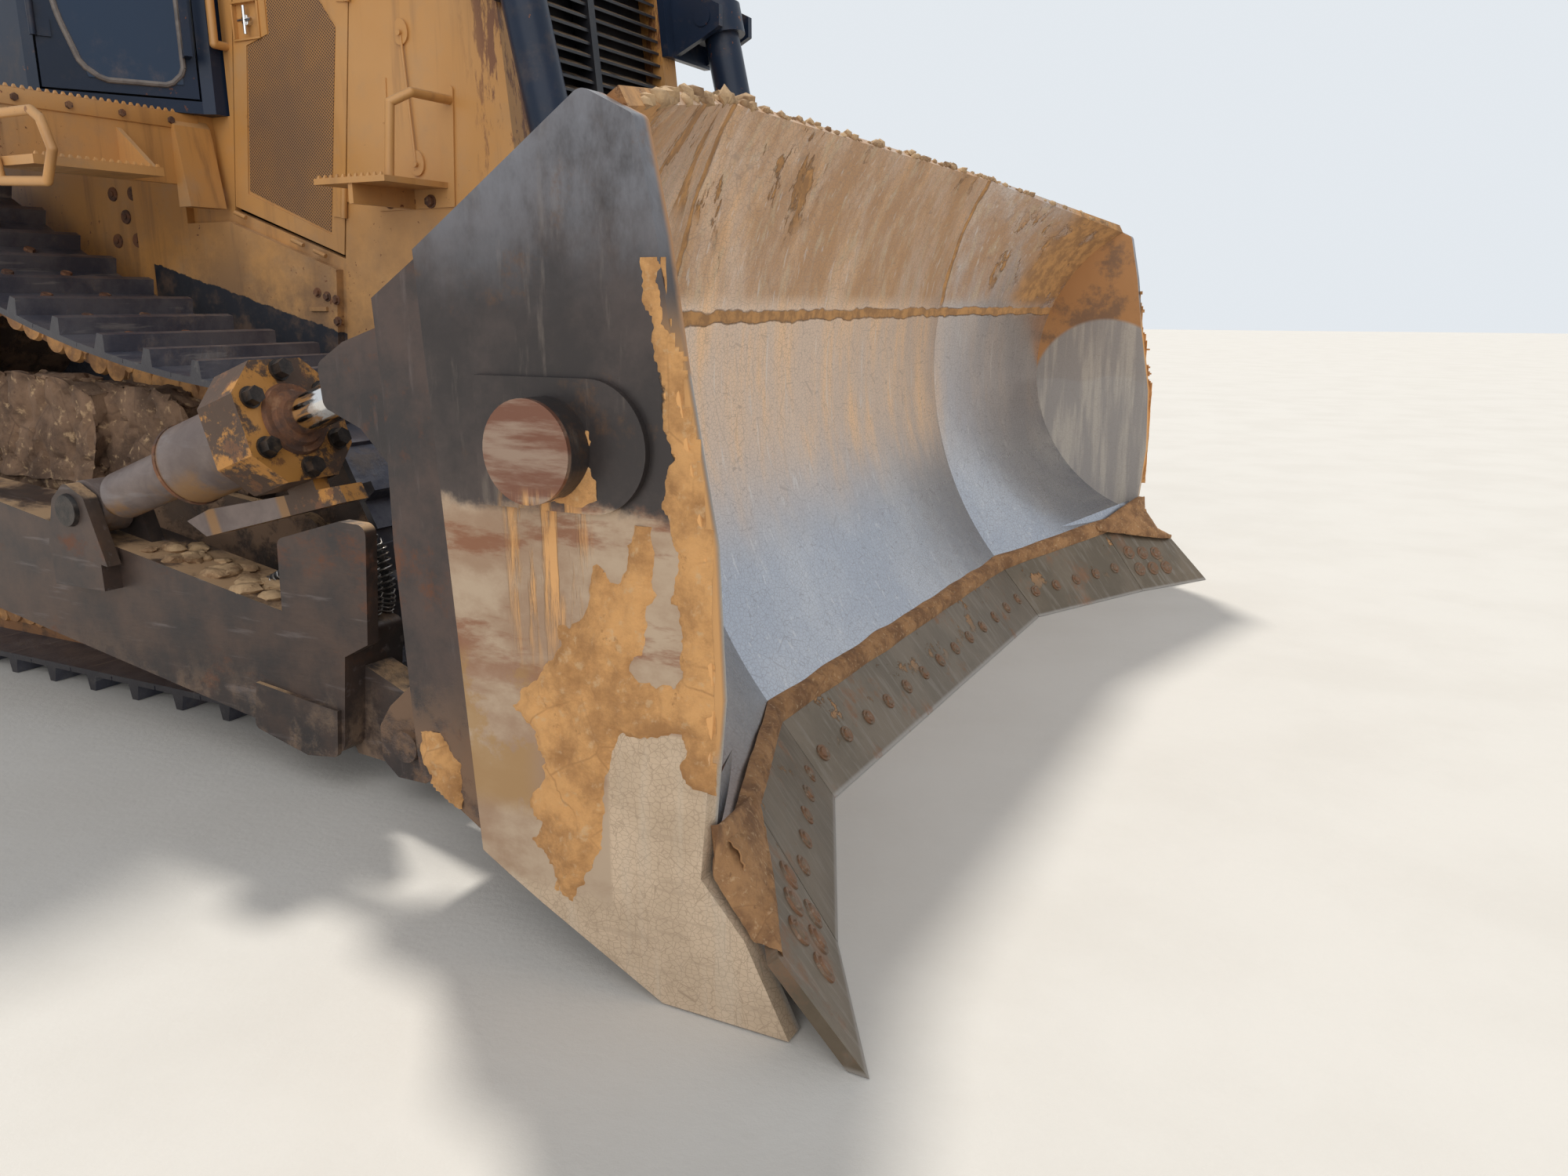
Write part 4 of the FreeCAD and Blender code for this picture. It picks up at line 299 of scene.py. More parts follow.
def arm_steel(f, rusty=1.0):
    """Blackened steel plate, scratched lengthways, rusting where the earth rubs it."""
    f.tones(f.patch((0.36, 0.66), 2.4, 7, 0.66, seed=1), "scale", (0.112, 0.074, 0.058))
    scratch = f.patch((0.58, 0.70, 0.55), 30, 5, 0.6, seed=2, stretch=(0.10, 1, 1), turn=(0, -14, 0))
    f.coat(scratch, (0.185, 0.155, 0.150))
    rust = f.patch((0.545, 0.66, 0.72 * rusty), 3.1, 8, 0.72, seed=3, stretch=(0.6, 1, 1))
    f.coat(rust, "rust")
    dust = f.both(f.step(f.facing(2), 0.25, 0.8), f.patch((0.40, 0.58), 4, 7, 0.68, seed=4))
    f.coat(dust, "dust")
    low = f.both(f.step(f.z, 0.42, 0.12), f.patch((0.44, 0.60, 0.7), 5, 7, 0.7, seed=5))
    f.coat(low, (0.250, 0.165, 0.105))
    f.bump(f.noise(60, 5, 0.6, seed=6, stretch=(0.2, 1, 1)), 0.0015, 0.5)
    f.bump(f.either(dust, low), 0.004, 0.7)
    f.done(f.range(f.either(dust, low, rust), 0.44, 0.90), f.range(f.either(dust, low, rust), 0.45, 0.0))


def mouldboard(f):
    """Scoured steel with a cool blue tint that is a painted sky reflection: a net of fine cracks, a brown film
    that grows upwards, clay in the seam and folds.
    """
    # The steel tone's blue tint is a painted sky reflection.
    f.tones(f.patch((0.36, 0.66), 1.5, 6, 0.6, seed=1), "steel_and_sky_tint", (0.505, 0.510, 0.530))
    wipe = f.patch((0.42, 0.68), 9, 6, 0.62, seed=2, stretch=(1, 0.9, 0.16))
    film = f.both(f.step(f.z, 0.52, 1.00), f.range(wipe, 0.60, 1.0),
                  f.range(f.step(f.y, 1.02, 1.22), 1.0, 0.35))
    f.coat(film, (0.800, 0.545, 0.340))
    smear = f.noise(2.6, 8, 0.7, seed=3, stretch=(1, 1, 0.4), turn=(14, 0, 0))
    high = f.both(f.step(f.z, 1.36, 1.42), f.step(smear, 0.32, 0.60, 0.86))
    f.coat(high, (0.440, 0.235, 0.100))
    scrape = f.both(f.step(f.z, 1.36, 1.42), f.patch((0.52, 0.66, 0.6), 20, 6, 0.66, seed=12,
                                                     stretch=(1, 1, 0.10), turn=(16, 0, 0)))
    f.coat(scrape, (0.560, 0.440, 0.300))
    net = f.either(f.both(f.cracks(52, 0.07, 4, (1, 1, 1.7)), 0.8),
                   f.both(f.cracks(17, 0.02, 5, (1, 1, 0.6)), 0.7))
    f.coat(f.both(net, 0.5), (0.165, 0.140, 0.130))
    score = f.patch((0.60, 0.70, 0.35), 46, 4, seed=6, stretch=(1, 1, 0.05))
    f.coat(score, (0.700, 0.680, 0.660))
    wobble = f.calc("MULTIPLY", f.noise(9, 5, seed=7), 0.05)
    seam = f.near(f.calc("ADD", f.z, wobble), 1.366, 0.014, 0.007)
    fold = f.both(f.near(f.calc("ADD", f.out, wobble), 1.140, 0.010, 0.008), f.step(f.z, 1.33, 1.40))
    runs = f.both(f.patch((0.565, 0.590), 3.8, 8, 0.68, seed=8, stretch=(1, 1.5, 0.55), turn=(10, 0, 0)),
                  f.step(f.z, 1.40, 1.50), f.patch((0.44, 0.52), 1.4, 2, seed=14))
    cake = f.both(f.step(f.out, 1.62, 1.86), f.step(f.z, 1.28, 1.42), f.patch((0.38, 0.46), 5, 7, 0.65, seed=9))
    clay = f.either(seam, fold, runs, cake)
    f.coat(clay, f.mix(f.patch((0.4, 0.6), 16, 7, 0.7, seed=13), (0.330, 0.175, 0.075), (0.520, 0.275, 0.105)))
    back = f.step(f.facing(0), 0.05, -0.05)
    f.coat(back, f.mix(f.patch((0.45, 0.6), 3, 7, 0.7, seed=10), "scale", "rust"))
    f.bump(f.noise(1.7, 3, seed=11), 0.010, 0.55)
    f.bump(net, 0.0012, -0.6)
    f.bump(clay, 0.010, 0.9)
    dull = f.either(clay, back)
    rough = f.either(dull, f.both(film, 0.42), f.both(high, 0.6))
    f.done(f.range(rough, 0.26, 0.92), f.range(f.either(dull, f.both(film, 0.30), high), 0.92, 0.0))


def end_plate(f):
    """Blade end plate: black scale above with a painted grey-blue sheen near its top, scoured grey below, a
    cracked wear plate, rust runs and clay.
    """
    edge = f.noise(5.5, 7, 0.68, seed=1)
    rise = f.calc("ADD", f.z, f.calc("MULTIPLY", edge, 0.16))
    dark = f.mix(f.patch((0.36, 0.64), 3.0, 7, 0.68, seed=2), "scale", (0.092, 0.072, 0.066))
    strokes = f.patch((0.55, 0.72, 0.55), 24, 6, 0.66, seed=3, stretch=(1, 1, 0.16), turn=(0, 12, 0))
    dark = f.mix(strokes, dark, (0.190, 0.155, 0.130))
    # Painted sheen: the top of the dark scale is lightened to a grey-blue highlight.
    painted_top_sheen = f.both(f.step(rise, 1.42, 1.72), f.patch((0.30, 0.62, 0.9), 3.6, 7, 0.7, seed=14,
                                                    stretch=(1, 1, 0.5)))
    dark = f.mix(painted_top_sheen, dark, (0.225, 0.225, 0.245))
    dark = f.mix(f.patch((0.58, 0.70, 0.5), 5.5, 8, 0.74, seed=15), dark, (0.150, 0.080, 0.042))
    grey = f.mix(f.patch((0.40, 0.62), 2.8, 7, 0.66, seed=4, stretch=(1, 1, 1.6)), (0.480, 0.365, 0.260),
                 (0.350, 0.230, 0.150))
    rusty = f.both(f.patch((0.52, 0.62, 0.8), 3.2, 7, 0.7, seed=5, stretch=(0.5, 1, 2.0), turn=(0, -18, 0)),
                   f.step(rise, 0.55, 0.85))
    grey = f.mix(rusty, grey, (0.240, 0.090, 0.042))
    grey = f.mix(f.both(f.near(f.z, 0.52, 0.13, 0.06), f.step(f.x, 2.78, 2.70), f.step(edge, 0.44, 0.52, 0.7)),
                 grey, (0.380, 0.225, 0.085))
    net = f.either(f.both(f.cracks(64, 0.085, 6, (1, 1, 1.5)), 0.75),
                   f.both(f.cracks(24, 0.022, 16, (1.4, 1, 0.7)), 0.9))
    lines = f.patch((0.56, 0.66, 0.35), 60, 3, 0.6, seed=17, stretch=(0.06, 1, 1))
    pad = f.mix(f.patch((0.38, 0.64), 3.5, 6, 0.66, seed=18), (0.620, 0.480, 0.345), (0.500, 0.380, 0.265))
    pad = f.mix(f.both(f.either(net, lines), 0.60), pad, (0.260, 0.180, 0.122))
    pad = f.mix(f.patch((0.5, 0.7, 0.3), 20, 3, seed=7, stretch=(1, 1, 0.1)), pad, (0.600, 0.520, 0.420))
    sheet = f.either(f.both(f.step(f.x, 2.915, 2.925), f.step(f.z, 0.590, 0.580)), f.step(rise, 0.30, 0.26))
    grey = f.mix(sheet, grey, pad)
    f.tones(f.step(rise, 1.100, 1.065), dark, grey)
    runs = f.both(f.patch((0.47, 0.60), 26, 5, 0.6, seed=8, stretch=(1, 1, 0.10)), f.step(f.x, 2.68, 2.72),
                  f.step(f.x, 2.92, 2.86), f.step(f.z, 0.62, 0.86), f.step(f.z, 1.06, 1.02))
    rim_x = f.calc("SUBTRACT", 3.168, f.calc("MULTIPLY", f.calc("MAXIMUM", f.calc("SUBTRACT", f.z, 0.9), 0.0),
                                             0.19))
    from_rim = f.calc("SUBTRACT", rim_x, f.x)
    caked = f.both(f.step(f.calc("ADD", from_rim, f.calc("MULTIPLY", f.noise(9, 6, 0.6, seed=9), 0.10)), 0.090,
                          0.080), f.step(f.z, 0.50, 0.58), f.step(f.z, 1.42, 1.22))
    cap = f.step(f.out, 2.268, 2.272)
    f.coat(cap, f.mix(f.patch((0.42, 0.62), 14, 6, 0.6, seed=11, stretch=(0.3, 1, 2), turn=(0, 20, 0)),
                      (0.200, 0.090, 0.058), (0.340, 0.240, 0.180)))
    inner = f.step(f.out, 2.170, 2.150)
    flat = f.add("ShaderNodeCombineXYZ", f.x, 0.0, f.z).outputs[0]
    from_boss = f.add("ShaderNodeVectorMath", flat, (2.93, 0, 0.93), operation="DISTANCE").outputs["Value"]
    scour = f.either(f.near(from_boss, 0.0, 0.36, 0.02), f.step(f.z, 0.85, 0.7))
    bright = f.mix(f.patch((0.42, 0.66), 30, 4, seed=12, stretch=(1, 1, 0.08)), (0.310, 0.290, 0.275),
                   (0.430, 0.395, 0.350))
    bright = f.mix(f.both(net, 0.3), bright, (0.22, 0.19, 0.17))
    inside = f.mix(scour, f.mix(f.step(edge, 0.36, 0.50), (0.230, 0.135, 0.080), (0.420, 0.215, 0.090)), bright)
    f.coat(inner, inside)
    clay = f.either(f.both(runs, 0.9), caked)
    clay = f.both(clay, f.calc("SUBTRACT", 1.0, inner))
    f.coat(clay, "clay")
    f.bump(f.noise(5, 6, 0.62, seed=13), 0.004, 0.6)
    f.bump(net, 0.0015, -0.5)
    f.bump(clay, 0.008, 0.9)
    worn = f.either(clay, f.both(f.step(rise, 1.100, 1.065), 0.55))
    f.done(f.range(worn, 0.38, 0.88), f.range(worn, 0.55, 0.05))


def blade_rear(f):
    """Back of the blade: black scale, rust along the beams, mud in the corners."""
    f.tones(f.patch((0.38, 0.62), 2.6, 7, 0.68, seed=1), "scale", (0.100, 0.070, 0.060))
    strokes = f.patch((0.56, 0.72, 0.5), 22, 6, 0.64, seed=2, stretch=(1, 1, 0.14), turn=(0, 8, 0))
    f.coat(strokes, (0.170, 0.135, 0.125))
    rust = f.patch((0.53, 0.66, 0.75), 3.6, 8, 0.72, seed=3)
    f.coat(rust, "rust")
    low = f.both(f.step(f.z, 0.62, 0.30), f.patch((0.42, 0.56, 0.9), 4.5, 7, 0.7, seed=4))
    top = f.both(f.step(f.facing(2), 0.35, 0.8), f.patch((0.34, 0.50), 4, 7, 0.7, seed=5))
    f.coat(f.either(low, top), "mud")
    f.bump(f.noise(30, 6, 0.66, seed=6), 0.003, 0.5)
    f.bump(f.either(low, top), 0.006, 0.8)
    f.done(f.range(f.either(low, top, rust), 0.50, 0.92), f.range(f.either(low, top, rust), 0.4, 0.0))


def edge_steel(f, bright=0.0):
    """Cutting edge: brown-grey steel ground along the slope, bright at the tip, clay dried on it."""
    f.tones(f.patch((0.36, 0.64), 3.2, 7, 0.66, seed=1), (0.135, 0.105, 0.072), (0.185, 0.143, 0.100))
    ground = f.patch((0.50, 0.66, 0.5 + bright * 0.3), 34, 5, 0.6, seed=2, stretch=(0.3, 1.4, 0.1))
    f.coat(ground, (0.240, 0.202, 0.160))
    f.coat(f.step(f.z, 0.014, 0.004, 0.6), (0.420, 0.390, 0.360))
    rust = f.patch((0.54, 0.66, 0.60 - bright * 0.2), 4.6, 8, 0.72, seed=3)
    f.coat(rust, (0.260, 0.120, 0.058))
    clay = f.both(f.patch((0.60, 0.64), 7.5, 8, 0.72, seed=4), f.step(f.z, 0.06, 0.20))
    f.coat(clay, (0.420, 0.225, 0.100))
    f.bump(f.noise(40, 5, 0.6, seed=5, stretch=(0.5, 1, 0.3)), 0.002, 0.6)
    f.bump(clay, 0.006, 0.9)
    f.done(f.range(f.either(rust, clay), 0.42, 0.9), f.range(f.either(rust, clay), 0.55, 0.0))


def shoe_steel(f):
    """Track: dark shoes with dry dust, link rails brown with oil and earth."""
    f.tones(f.patch((0.38, 0.62), 5, 6, 0.65, seed=1), (0.084, 0.088, 0.118), (0.150, 0.150, 0.175))
    dust = f.patch((0.52, 0.68, 0.38), 4.2, 8, 0.72, seed=2)
    f.coat(dust, (0.300, 0.215, 0.140))
    rub = f.patch((0.60, 0.68, 0.55), 26, 4, 0.6, seed=3, stretch=(1, 0.12, 1))
    f.coat(rub, (0.320, 0.305, 0.300))
    across = f.calc("ABSOLUTE", f.calc("SUBTRACT", f.out, TRACK_Y))
    rails = f.both(f.step(f.calc("ABSOLUTE", f.facing(1)), 0.6, 0.8), f.step(across, 0.16, 0.15))
    link = f.mix(f.patch((0.42, 0.62), 9, 6, 0.66, seed=4), (0.250, 0.120, 0.052), (0.100, 0.058, 0.036))
    f.coat(rails, link)
    ends = f.both(f.step(f.calc("ABSOLUTE", f.facing(1)), 0.6, 0.8), f.step(across, 0.20, 0.22), 0.75)
    f.coat(ends, (0.040, 0.034, 0.032))
    f.bump(f.noise(36, 6, 0.66, seed=5), 0.003, 0.6)
    f.bump(dust, 0.004, 0.6)
    f.done(f.range(f.either(dust, rails), 0.40, 0.88), f.range(f.either(dust, rails), 0.5, 0.0))


def caked(f):
    """Undercarriage castings: oil-dark steel under dust and dried mud."""
    f.tones(f.patch((0.36, 0.66), 3.4, 6, seed=1), (0.060, 0.042, 0.034), (0.120, 0.075, 0.048))
    mud = f.patch((0.44, 0.56), 4.2, 8, 0.72, seed=2)
    f.coat(mud, "mud")
    top = f.both(f.step(f.facing(2), 0.3, 0.8), f.patch((0.36, 0.5), 6, 7, 0.7, seed=3))
    f.coat(top, "dust")
    f.bump(f.noise(24, 8, 0.7, seed=4), 0.006, 0.7)
    f.bump(mud, 0.008, 0.8)
    f.done(0.88)


def tilt_barrel(f):
    """Tilt cylinder: worn grey tube; a head with yellow left in its hollows and black oil round the bolts."""
    slope = math.radians(18.96)
    along = f.calc("ADD", f.calc("MULTIPLY", f.calc("SUBTRACT", f.x, 0.646), math.cos(slope)),
                   f.calc("MULTIPLY", f.calc("SUBTRACT", f.z, 0.764), math.sin(slope)))
    tube = f.mix(f.patch((0.36, 0.64), 4, 7, 0.66, seed=1), (0.140, 0.106, 0.096), (0.215, 0.168, 0.150))
    tube = f.mix(f.patch((0.55, 0.70, 0.5), 18, 5, 0.6, seed=2, stretch=(0.15, 1, 1), turn=(0, -19, 0)), tube,
                 (0.260, 0.235, 0.235))
    dirt = f.either(f.both(f.step(f.facing(2), -0.1, -0.7), f.patch((0.38, 0.55, 0.85), 5, 6, 0.65, seed=3)),
                    f.both(f.near(along, 0.47, 0.012, 0.02), 0.8),
                    f.both(f.near(along, 0.785, 0.014, 0.02), 0.8))
    tube = f.mix(dirt, tube, (0.320, 0.170, 0.062))
    front = f.step(f.facing(0), 0.55, 0.85)
    wear = f.calc("SUBTRACT", f.noise(5.5, 8, 0.72, seed=4), f.both(front, 0.075))
    head = f.mix(f.step(wear, 0.400, 0.470), "yellow", (0.088, 0.052, 0.034))
    head = f.mix(f.patch((0.56, 0.62, 0.8), 14, 7, 0.7, seed=5), head, (0.190, 0.085, 0.040))
    f.tones(f.step(along, 0.797, 0.800), tube, head)
    f.bump(f.noise(30, 6, 0.64, seed=6), 0.002, 0.6)
    f.done(f.range(f.noise(8, 5, seed=7), 0.30, 0.72), 0.25)


def chrome(f):
    """Plated rod with a little dust and rust at its ends."""
    film = f.patch((0.54, 0.72, 0.6), 10, 6, 0.66, seed=1)
    f.tones(film, (0.700, 0.690, 0.680), (0.360, 0.235, 0.140))
    f.done(f.range(film, 0.10, 0.60), f.range(film, 1.0, 0.3))


def rusted(f, colour=(0.205, 0.088, 0.042), dark=(0.082, 0.046, 0.034)):
    """Brown rust with darker spots."""
    f.tones(f.patch((0.40, 0.60), 9, 7, 0.68, seed=1), dark, colour)
    f.coat(f.patch((0.56, 0.66, 0.5), 30, 5, seed=2), (0.330, 0.185, 0.100))
    f.bump(f.noise(60, 6, 0.68, seed=3), 0.002, 0.7)
    f.done(0.80, 0.15)


def bolt_steel(f):
    """Bolt heads worn flush: rust rings round brighter crowns."""
    f.tones(f.patch((0.42, 0.62), 34, 6, 0.66, seed=1), (0.205, 0.105, 0.055), (0.165, 0.120, 0.082))
    f.coat(f.patch((0.55, 0.65, 0.5), 90, 4, seed=2), (0.300, 0.235, 0.180))
    f.bump(f.noise(80, 5, seed=3), 0.0015, 0.7)
    f.done(0.62, 0.35)


def earth(f, colour, dark, scale=1.0):
    """Dried earth, crumbly and cracked."""
    f.tones(f.patch((0.36, 0.62), 7 * scale, 8, 0.7, seed=1), dark, colour)
    f.coat(f.patch((0.56, 0.70, 0.55), 44 * scale, 5, 0.6, seed=2), (0.640, 0.440, 0.250))
    f.coat(f.patch((0.62, 0.68, 0.7), 24 * scale, 6, 0.7, seed=3), dark)
    splits = f.both(f.cracks(6 * scale, 0.02, 4), f.patch((0.42, 0.56), 3 * scale, 4, seed=6))
    f.coat(f.both(splits, 0.6), dark)
    f.bump(f.noise(26 * scale, 9, 0.74, seed=5), 0.010, 0.9)
    f.bump(splits, 0.008, -0.8)
    f.done(0.96)


def door_mesh(f):
    """Perforated sheet: staggered round holes painted dark as shade, in dusty yellow."""
    pitch = 0.0140

    def wave(value, shift):
        part = f.calc("FRACT", f.calc("ADD", f.calc("DIVIDE", value, pitch), shift))
        return f.calc("SUBTRACT", part, 0.5)

    rows = f.calc("MULTIPLY", f.z, 1.1547)
    first = f.calc("SQRT", f.calc("ADD", f.calc("POWER", wave(f.x, 0.0), 2.0),
                                  f.calc("POWER", wave(rows, 0.0), 2.0)))
    half_row = f.calc("SQRT", f.calc("ADD", f.calc("POWER", wave(f.x, 0.5), 2.0),
                                     f.calc("POWER", wave(rows, 0.5), 2.0)))
    shaded_holes = f.step(f.calc("MINIMUM", first, half_row), 0.30, 0.22)
    f.tones(f.patch((0.36, 0.68), 2.2, 6, 0.66, seed=1), (0.400, 0.200, 0.066), (0.270, 0.148, 0.070))
    # Painted shade: the holes are dark dots on the sheet, standing for the shade behind them.
    f.coat(shaded_holes, (0.060, 0.028, 0.016))
    f.bump(shaded_holes, 0.002, -0.8)
    f.done(0.66)


def grille(f):
    """Black louvres with brown dust on their upper faces."""
    f.tones(f.patch((0.4, 0.65), 5, 6, seed=1), (0.012, 0.013, 0.018), (0.030, 0.029, 0.032))
    top = f.both(f.step(f.facing(2), 0.2, 0.8), f.patch((0.36, 0.56, 0.6), 9, 6, 0.66, seed=2))
    f.coat(top, "dust")
    f.bump(f.noise(40, 4, seed=3), 0.001, 0.4)
    f.done(f.range(top, 0.45, 0.85))


def window(f):
    """Tinted pane with a film of dust in its corners."""
    film = f.patch((0.44, 0.74, 0.5), 5, 7, 0.68, seed=1)
    f.tones(film, (0.300, 0.420, 0.520), (0.560, 0.480, 0.380))
    f.set(Transmission_Weight=0.88, IOR=1.46)
    f.done(f.range(film, 0.03, 0.45))


def tinted_pane(f):
    """Pane bonded to the outside of a door: near black, with dust along its lower edge."""
    film = f.both(f.patch((0.50, 0.80, 0.25), 6, 7, 0.68, seed=1), f.step(f.z, 2.50, 2.20))
    f.tones(film, (0.006, 0.024, 0.062), "dust")
    f.done(f.range(film, 0.06, 0.5))


def plain(f, colour, second, roughness, scale=20.0, metallic=0.0, depth=0.001):
    """Rubber, plastic, castings: two tones with a fine grain."""
    f.tones(f.patch((0.38, 0.64), scale, 6, 0.62, seed=1), colour, second)
    film = f.patch((0.54, 0.74, 0.45), 4, 7, 0.7, seed=2)
    f.coat(film, "dust")
    f.bump(f.noise(scale * 6, 4, seed=3), depth, 0.5)
    f.done(f.range(film, roughness, 0.9), metallic)


def cloth(f):
    """Seat cover: woven dark grey with worn, dusty crowns."""
    waves = []
    for axis, seed in ((f.y, 0.0), (f.z, 0.5), (f.x, 0.25)):
        waves.append(f.calc("SINE", f.calc("ADD", f.calc("MULTIPLY", axis, 2200.0), seed)))
    weave = f.calc("MULTIPLY", f.calc("MULTIPLY", waves[0], waves[1]), waves[2])
    f.tones(f.step(weave, -0.4, 0.5), (0.030, 0.031, 0.036), (0.060, 0.060, 0.066))
    f.coat(f.patch((0.46, 0.70, 0.4), 5, 6, 0.66, seed=1), "dust")
    f.set(Sheen_Weight=0.25)
    f.bump(weave, 0.0008, 0.6)
    f.done(0.88)


def hot_steel(f):
    """Exhaust: heat-blued black and brown scale."""
    f.tones(f.patch((0.40, 0.62), 5, 7, 0.68, seed=1), (0.040, 0.032, 0.030), (0.160, 0.078, 0.044))
    f.bump(f.noise(50, 6, 0.66, seed=2), 0.002, 0.6)
    f.done(0.72, 0.3)


def pale_floor(f):
    """Plain pale ground with faint stains."""
    f.tones(f.patch((0.35, 0.7, 0.35), 1.6, 6, 0.6, seed=1), "floor", (0.560, 0.530, 0.490))
    f.bump(f.noise(30, 8, 0.7, seed=2), 0.006, 0.35)
    f.done(0.95)


FINISHES = {
    "floor": pale_floor,
    "yellow": paint,
    "yellow_guard": lambda f: paint(f, front_scuffs=True),
    "yellow_low": lambda f: paint(f, grime=1.5, black_below=True),
    "navy": navy,
    "navy_dusty": lambda f: navy(f, 0.35),
    "hull": hull,
    "arm": arm_steel,
    "mouldboard": mouldboard,
    "end_plate": end_plate,
    "blade_rear": blade_rear,
    "edge": edge_steel,
    "bit": lambda f: edge_steel(f, 0.9),
    "track": shoe_steel,
    "caked": caked,
    "tilt_barrel": tilt_barrel,
    "chrome": chrome,
    "rust": rusted,
    "bolt": bolt_steel,
    "clay": lambda f: earth(f, "clay", (0.400, 0.200, 0.075)),
    "wet_clay": lambda f: earth(f, (0.420, 0.225, 0.100), (0.215, 0.108, 0.050), 1.6),
    "link": lambda f: rusted(f, (0.600, 0.310, 0.115), (0.300, 0.150, 0.065)),
    "tinted_pane": tinted_pane,
    "mud": lambda f: earth(f, "mud", (0.085, 0.050, 0.032), 0.7),
    "dry_soil": lambda f: earth(f, (0.560, 0.380, 0.215), (0.250, 0.145, 0.075)),
    "door_mesh": door_mesh,
    "grille": grille,
    "glass": window,
    "cloth": cloth,
    "exhaust": hot_steel,
    "rubber": lambda f: plain(f, (0.014, 0.014, 0.015), (0.030, 0.029, 0.029), 0.62),
    "plastic": lambda f: plain(f, (0.020, 0.020, 0.022), (0.034, 0.034, 0.036), 0.5),
    "engine": lambda f: plain(f, (0.120, 0.085, 0.050), (0.060, 0.048, 0.040), 0.6, 8),
    "trim": lambda f: plain(f, (0.190, 0.165, 0.150), (0.120, 0.105, 0.100), 0.7),
    "black_oil": lambda f: plain(f, (0.018, 0.015, 0.014), (0.050, 0.038, 0.032), 0.35, 30, 0.3),
    "spring": lambda f: plain(f, (0.420, 0.400, 0.380), (0.220, 0.190, 0.165), 0.35, 40, 0.9),
}


def finish(name):
    """The material of that name, made when it is first asked for."""
    if name not in bpy.data.materials:
        FINISHES[name](Finish(name))
    return bpy.data.materials[name]


# Parts of the machine by their finish
PARTS = {
    "track": "tracks",
    "caked": "idlers track_rollers track_frames sprockets final_drives pivot_shaft equalizer_bar",
    "hull": "hull_sides belly_guard rear_case front_crossmember",
    "engine": "engine_block",
    "arm": "drawbar push_arms",
    "yellow_guard": "radiator_guard",
    "grille": "radiator_grille radiator_core",
    "yellow": "hood engine_door_right engine_door_left rollover_posts canopy fuel_tank guard_steps grab_rails",
    "rubber": "air_cleaner",
    "exhaust": "exhaust_stack",
    "yellow_low": "engine_panels access_panels fenders",
    "navy": "cab_front_wall cab_floor_pan cab_sides cab_rear_wall cab_door_right cab_door_left "
            "lift_cylinder_right lift_cylinder_left",
    "navy_dusty": "cab_roof_panel lift_yokes",
    "glass": "cab_glass cab_door_glass_right cab_door_glass_left",
    "cloth": "seat",
    "plastic": "dash",
    "chrome": "lift_rod_right lift_rod_left tilt_rod_right tilt_rod_left",
    "tilt_barrel": "tilt_cylinder_right tilt_cylinder_left",
    "mouldboard": "moldboard",
    "edge": "cutting_edges",
    "bit": "end_bits",
    "end_plate": "end_plates",
    "blade_rear": "blade_frame",
    "trim": "lamps",
    "mud": "track_mud",
}
CAD_FINISHES = {part: look for look, parts in PARTS.items() for part in parts.split()}


# Shapes

def pointing(spot, way, roll=0.0):
    """A matrix at the spot whose Z axis looks along the way."""
    turn = Vector(way).to_track_quat("Z", "Y").to_matrix().to_4x4()
    return Matrix.Translation(spot) @ turn @ Matrix.Rotation(roll, 4, "Z")


def disc(bm, spot, way, radius, high, sides=16, top=None, roll=0.0):
    """A round or many-sided head that stands on the spot."""
    place = pointing(Vector(spot) + Vector(way).normalized() * high / 2, way, roll)
    bmesh.ops.create_cone(bm, cap_ends=True, segments=sides, radius1=radius,
                          radius2=radius if top is None else top, depth=high, matrix=place)


def bolt(bm, spot, way, flats, high, washer=0.0):
    """A hexagon head, with a washer under it where a radius is given."""
    if washer:
        disc(bm, spot, way, washer, high * 0.25, 18)
        spot = Vector(spot) + Vector(way).normalized() * high * 0.25
    disc(bm, spot, way, flats / 1.732, high, 6, flats / 1.85)


def round_edges(bm, edges, radius, steps):
    """Round some edges off in a few steps."""
    bmesh.ops.bevel(bm, geom=edges, offset=radius, offset_type="OFFSET", segments=steps, profile=0.5,
                    affect="EDGES", material=-1)


def block(bm, low, high, round_edge=0.0, place=None):
    """A block between two corners, its edges rounded."""
    low, high = Vector(low), Vector(high)
    middle, size = (low + high) / 2, high - low
    matrix = Matrix.Translation(middle) @ Matrix.Diagonal((*size, 1))
    made = bmesh.ops.create_cube(bm, size=1, matrix=(place or Matrix()) @ matrix)
    if round_edge:
        round_edges(bm, list({edge for vertex in made["verts"] for edge in vertex.link_edges}), round_edge, 2)


def side_block(bm, side, low, high, round_edge=0.0):
    """A block on one side of the machine, with y measured outwards."""
    near, far = sorted((low[1] * side, high[1] * side))
    block(bm, (low[0], near, low[2]), (high[0], far, high[2]), round_edge)


def bolt_circle(bm, centre, side, reach, count, flats, high, first=0.0):
    """Bolts in a circle round a point on one side of the machine, with y measured outwards."""
    for number in range(count):
        angle = first + 2 * math.pi * number / count
        spot = (centre[0] + reach * math.cos(angle), centre[1] * side, centre[2] + reach * math.sin(angle))
        bolt(bm, spot, (0, side, 0), flats, high)


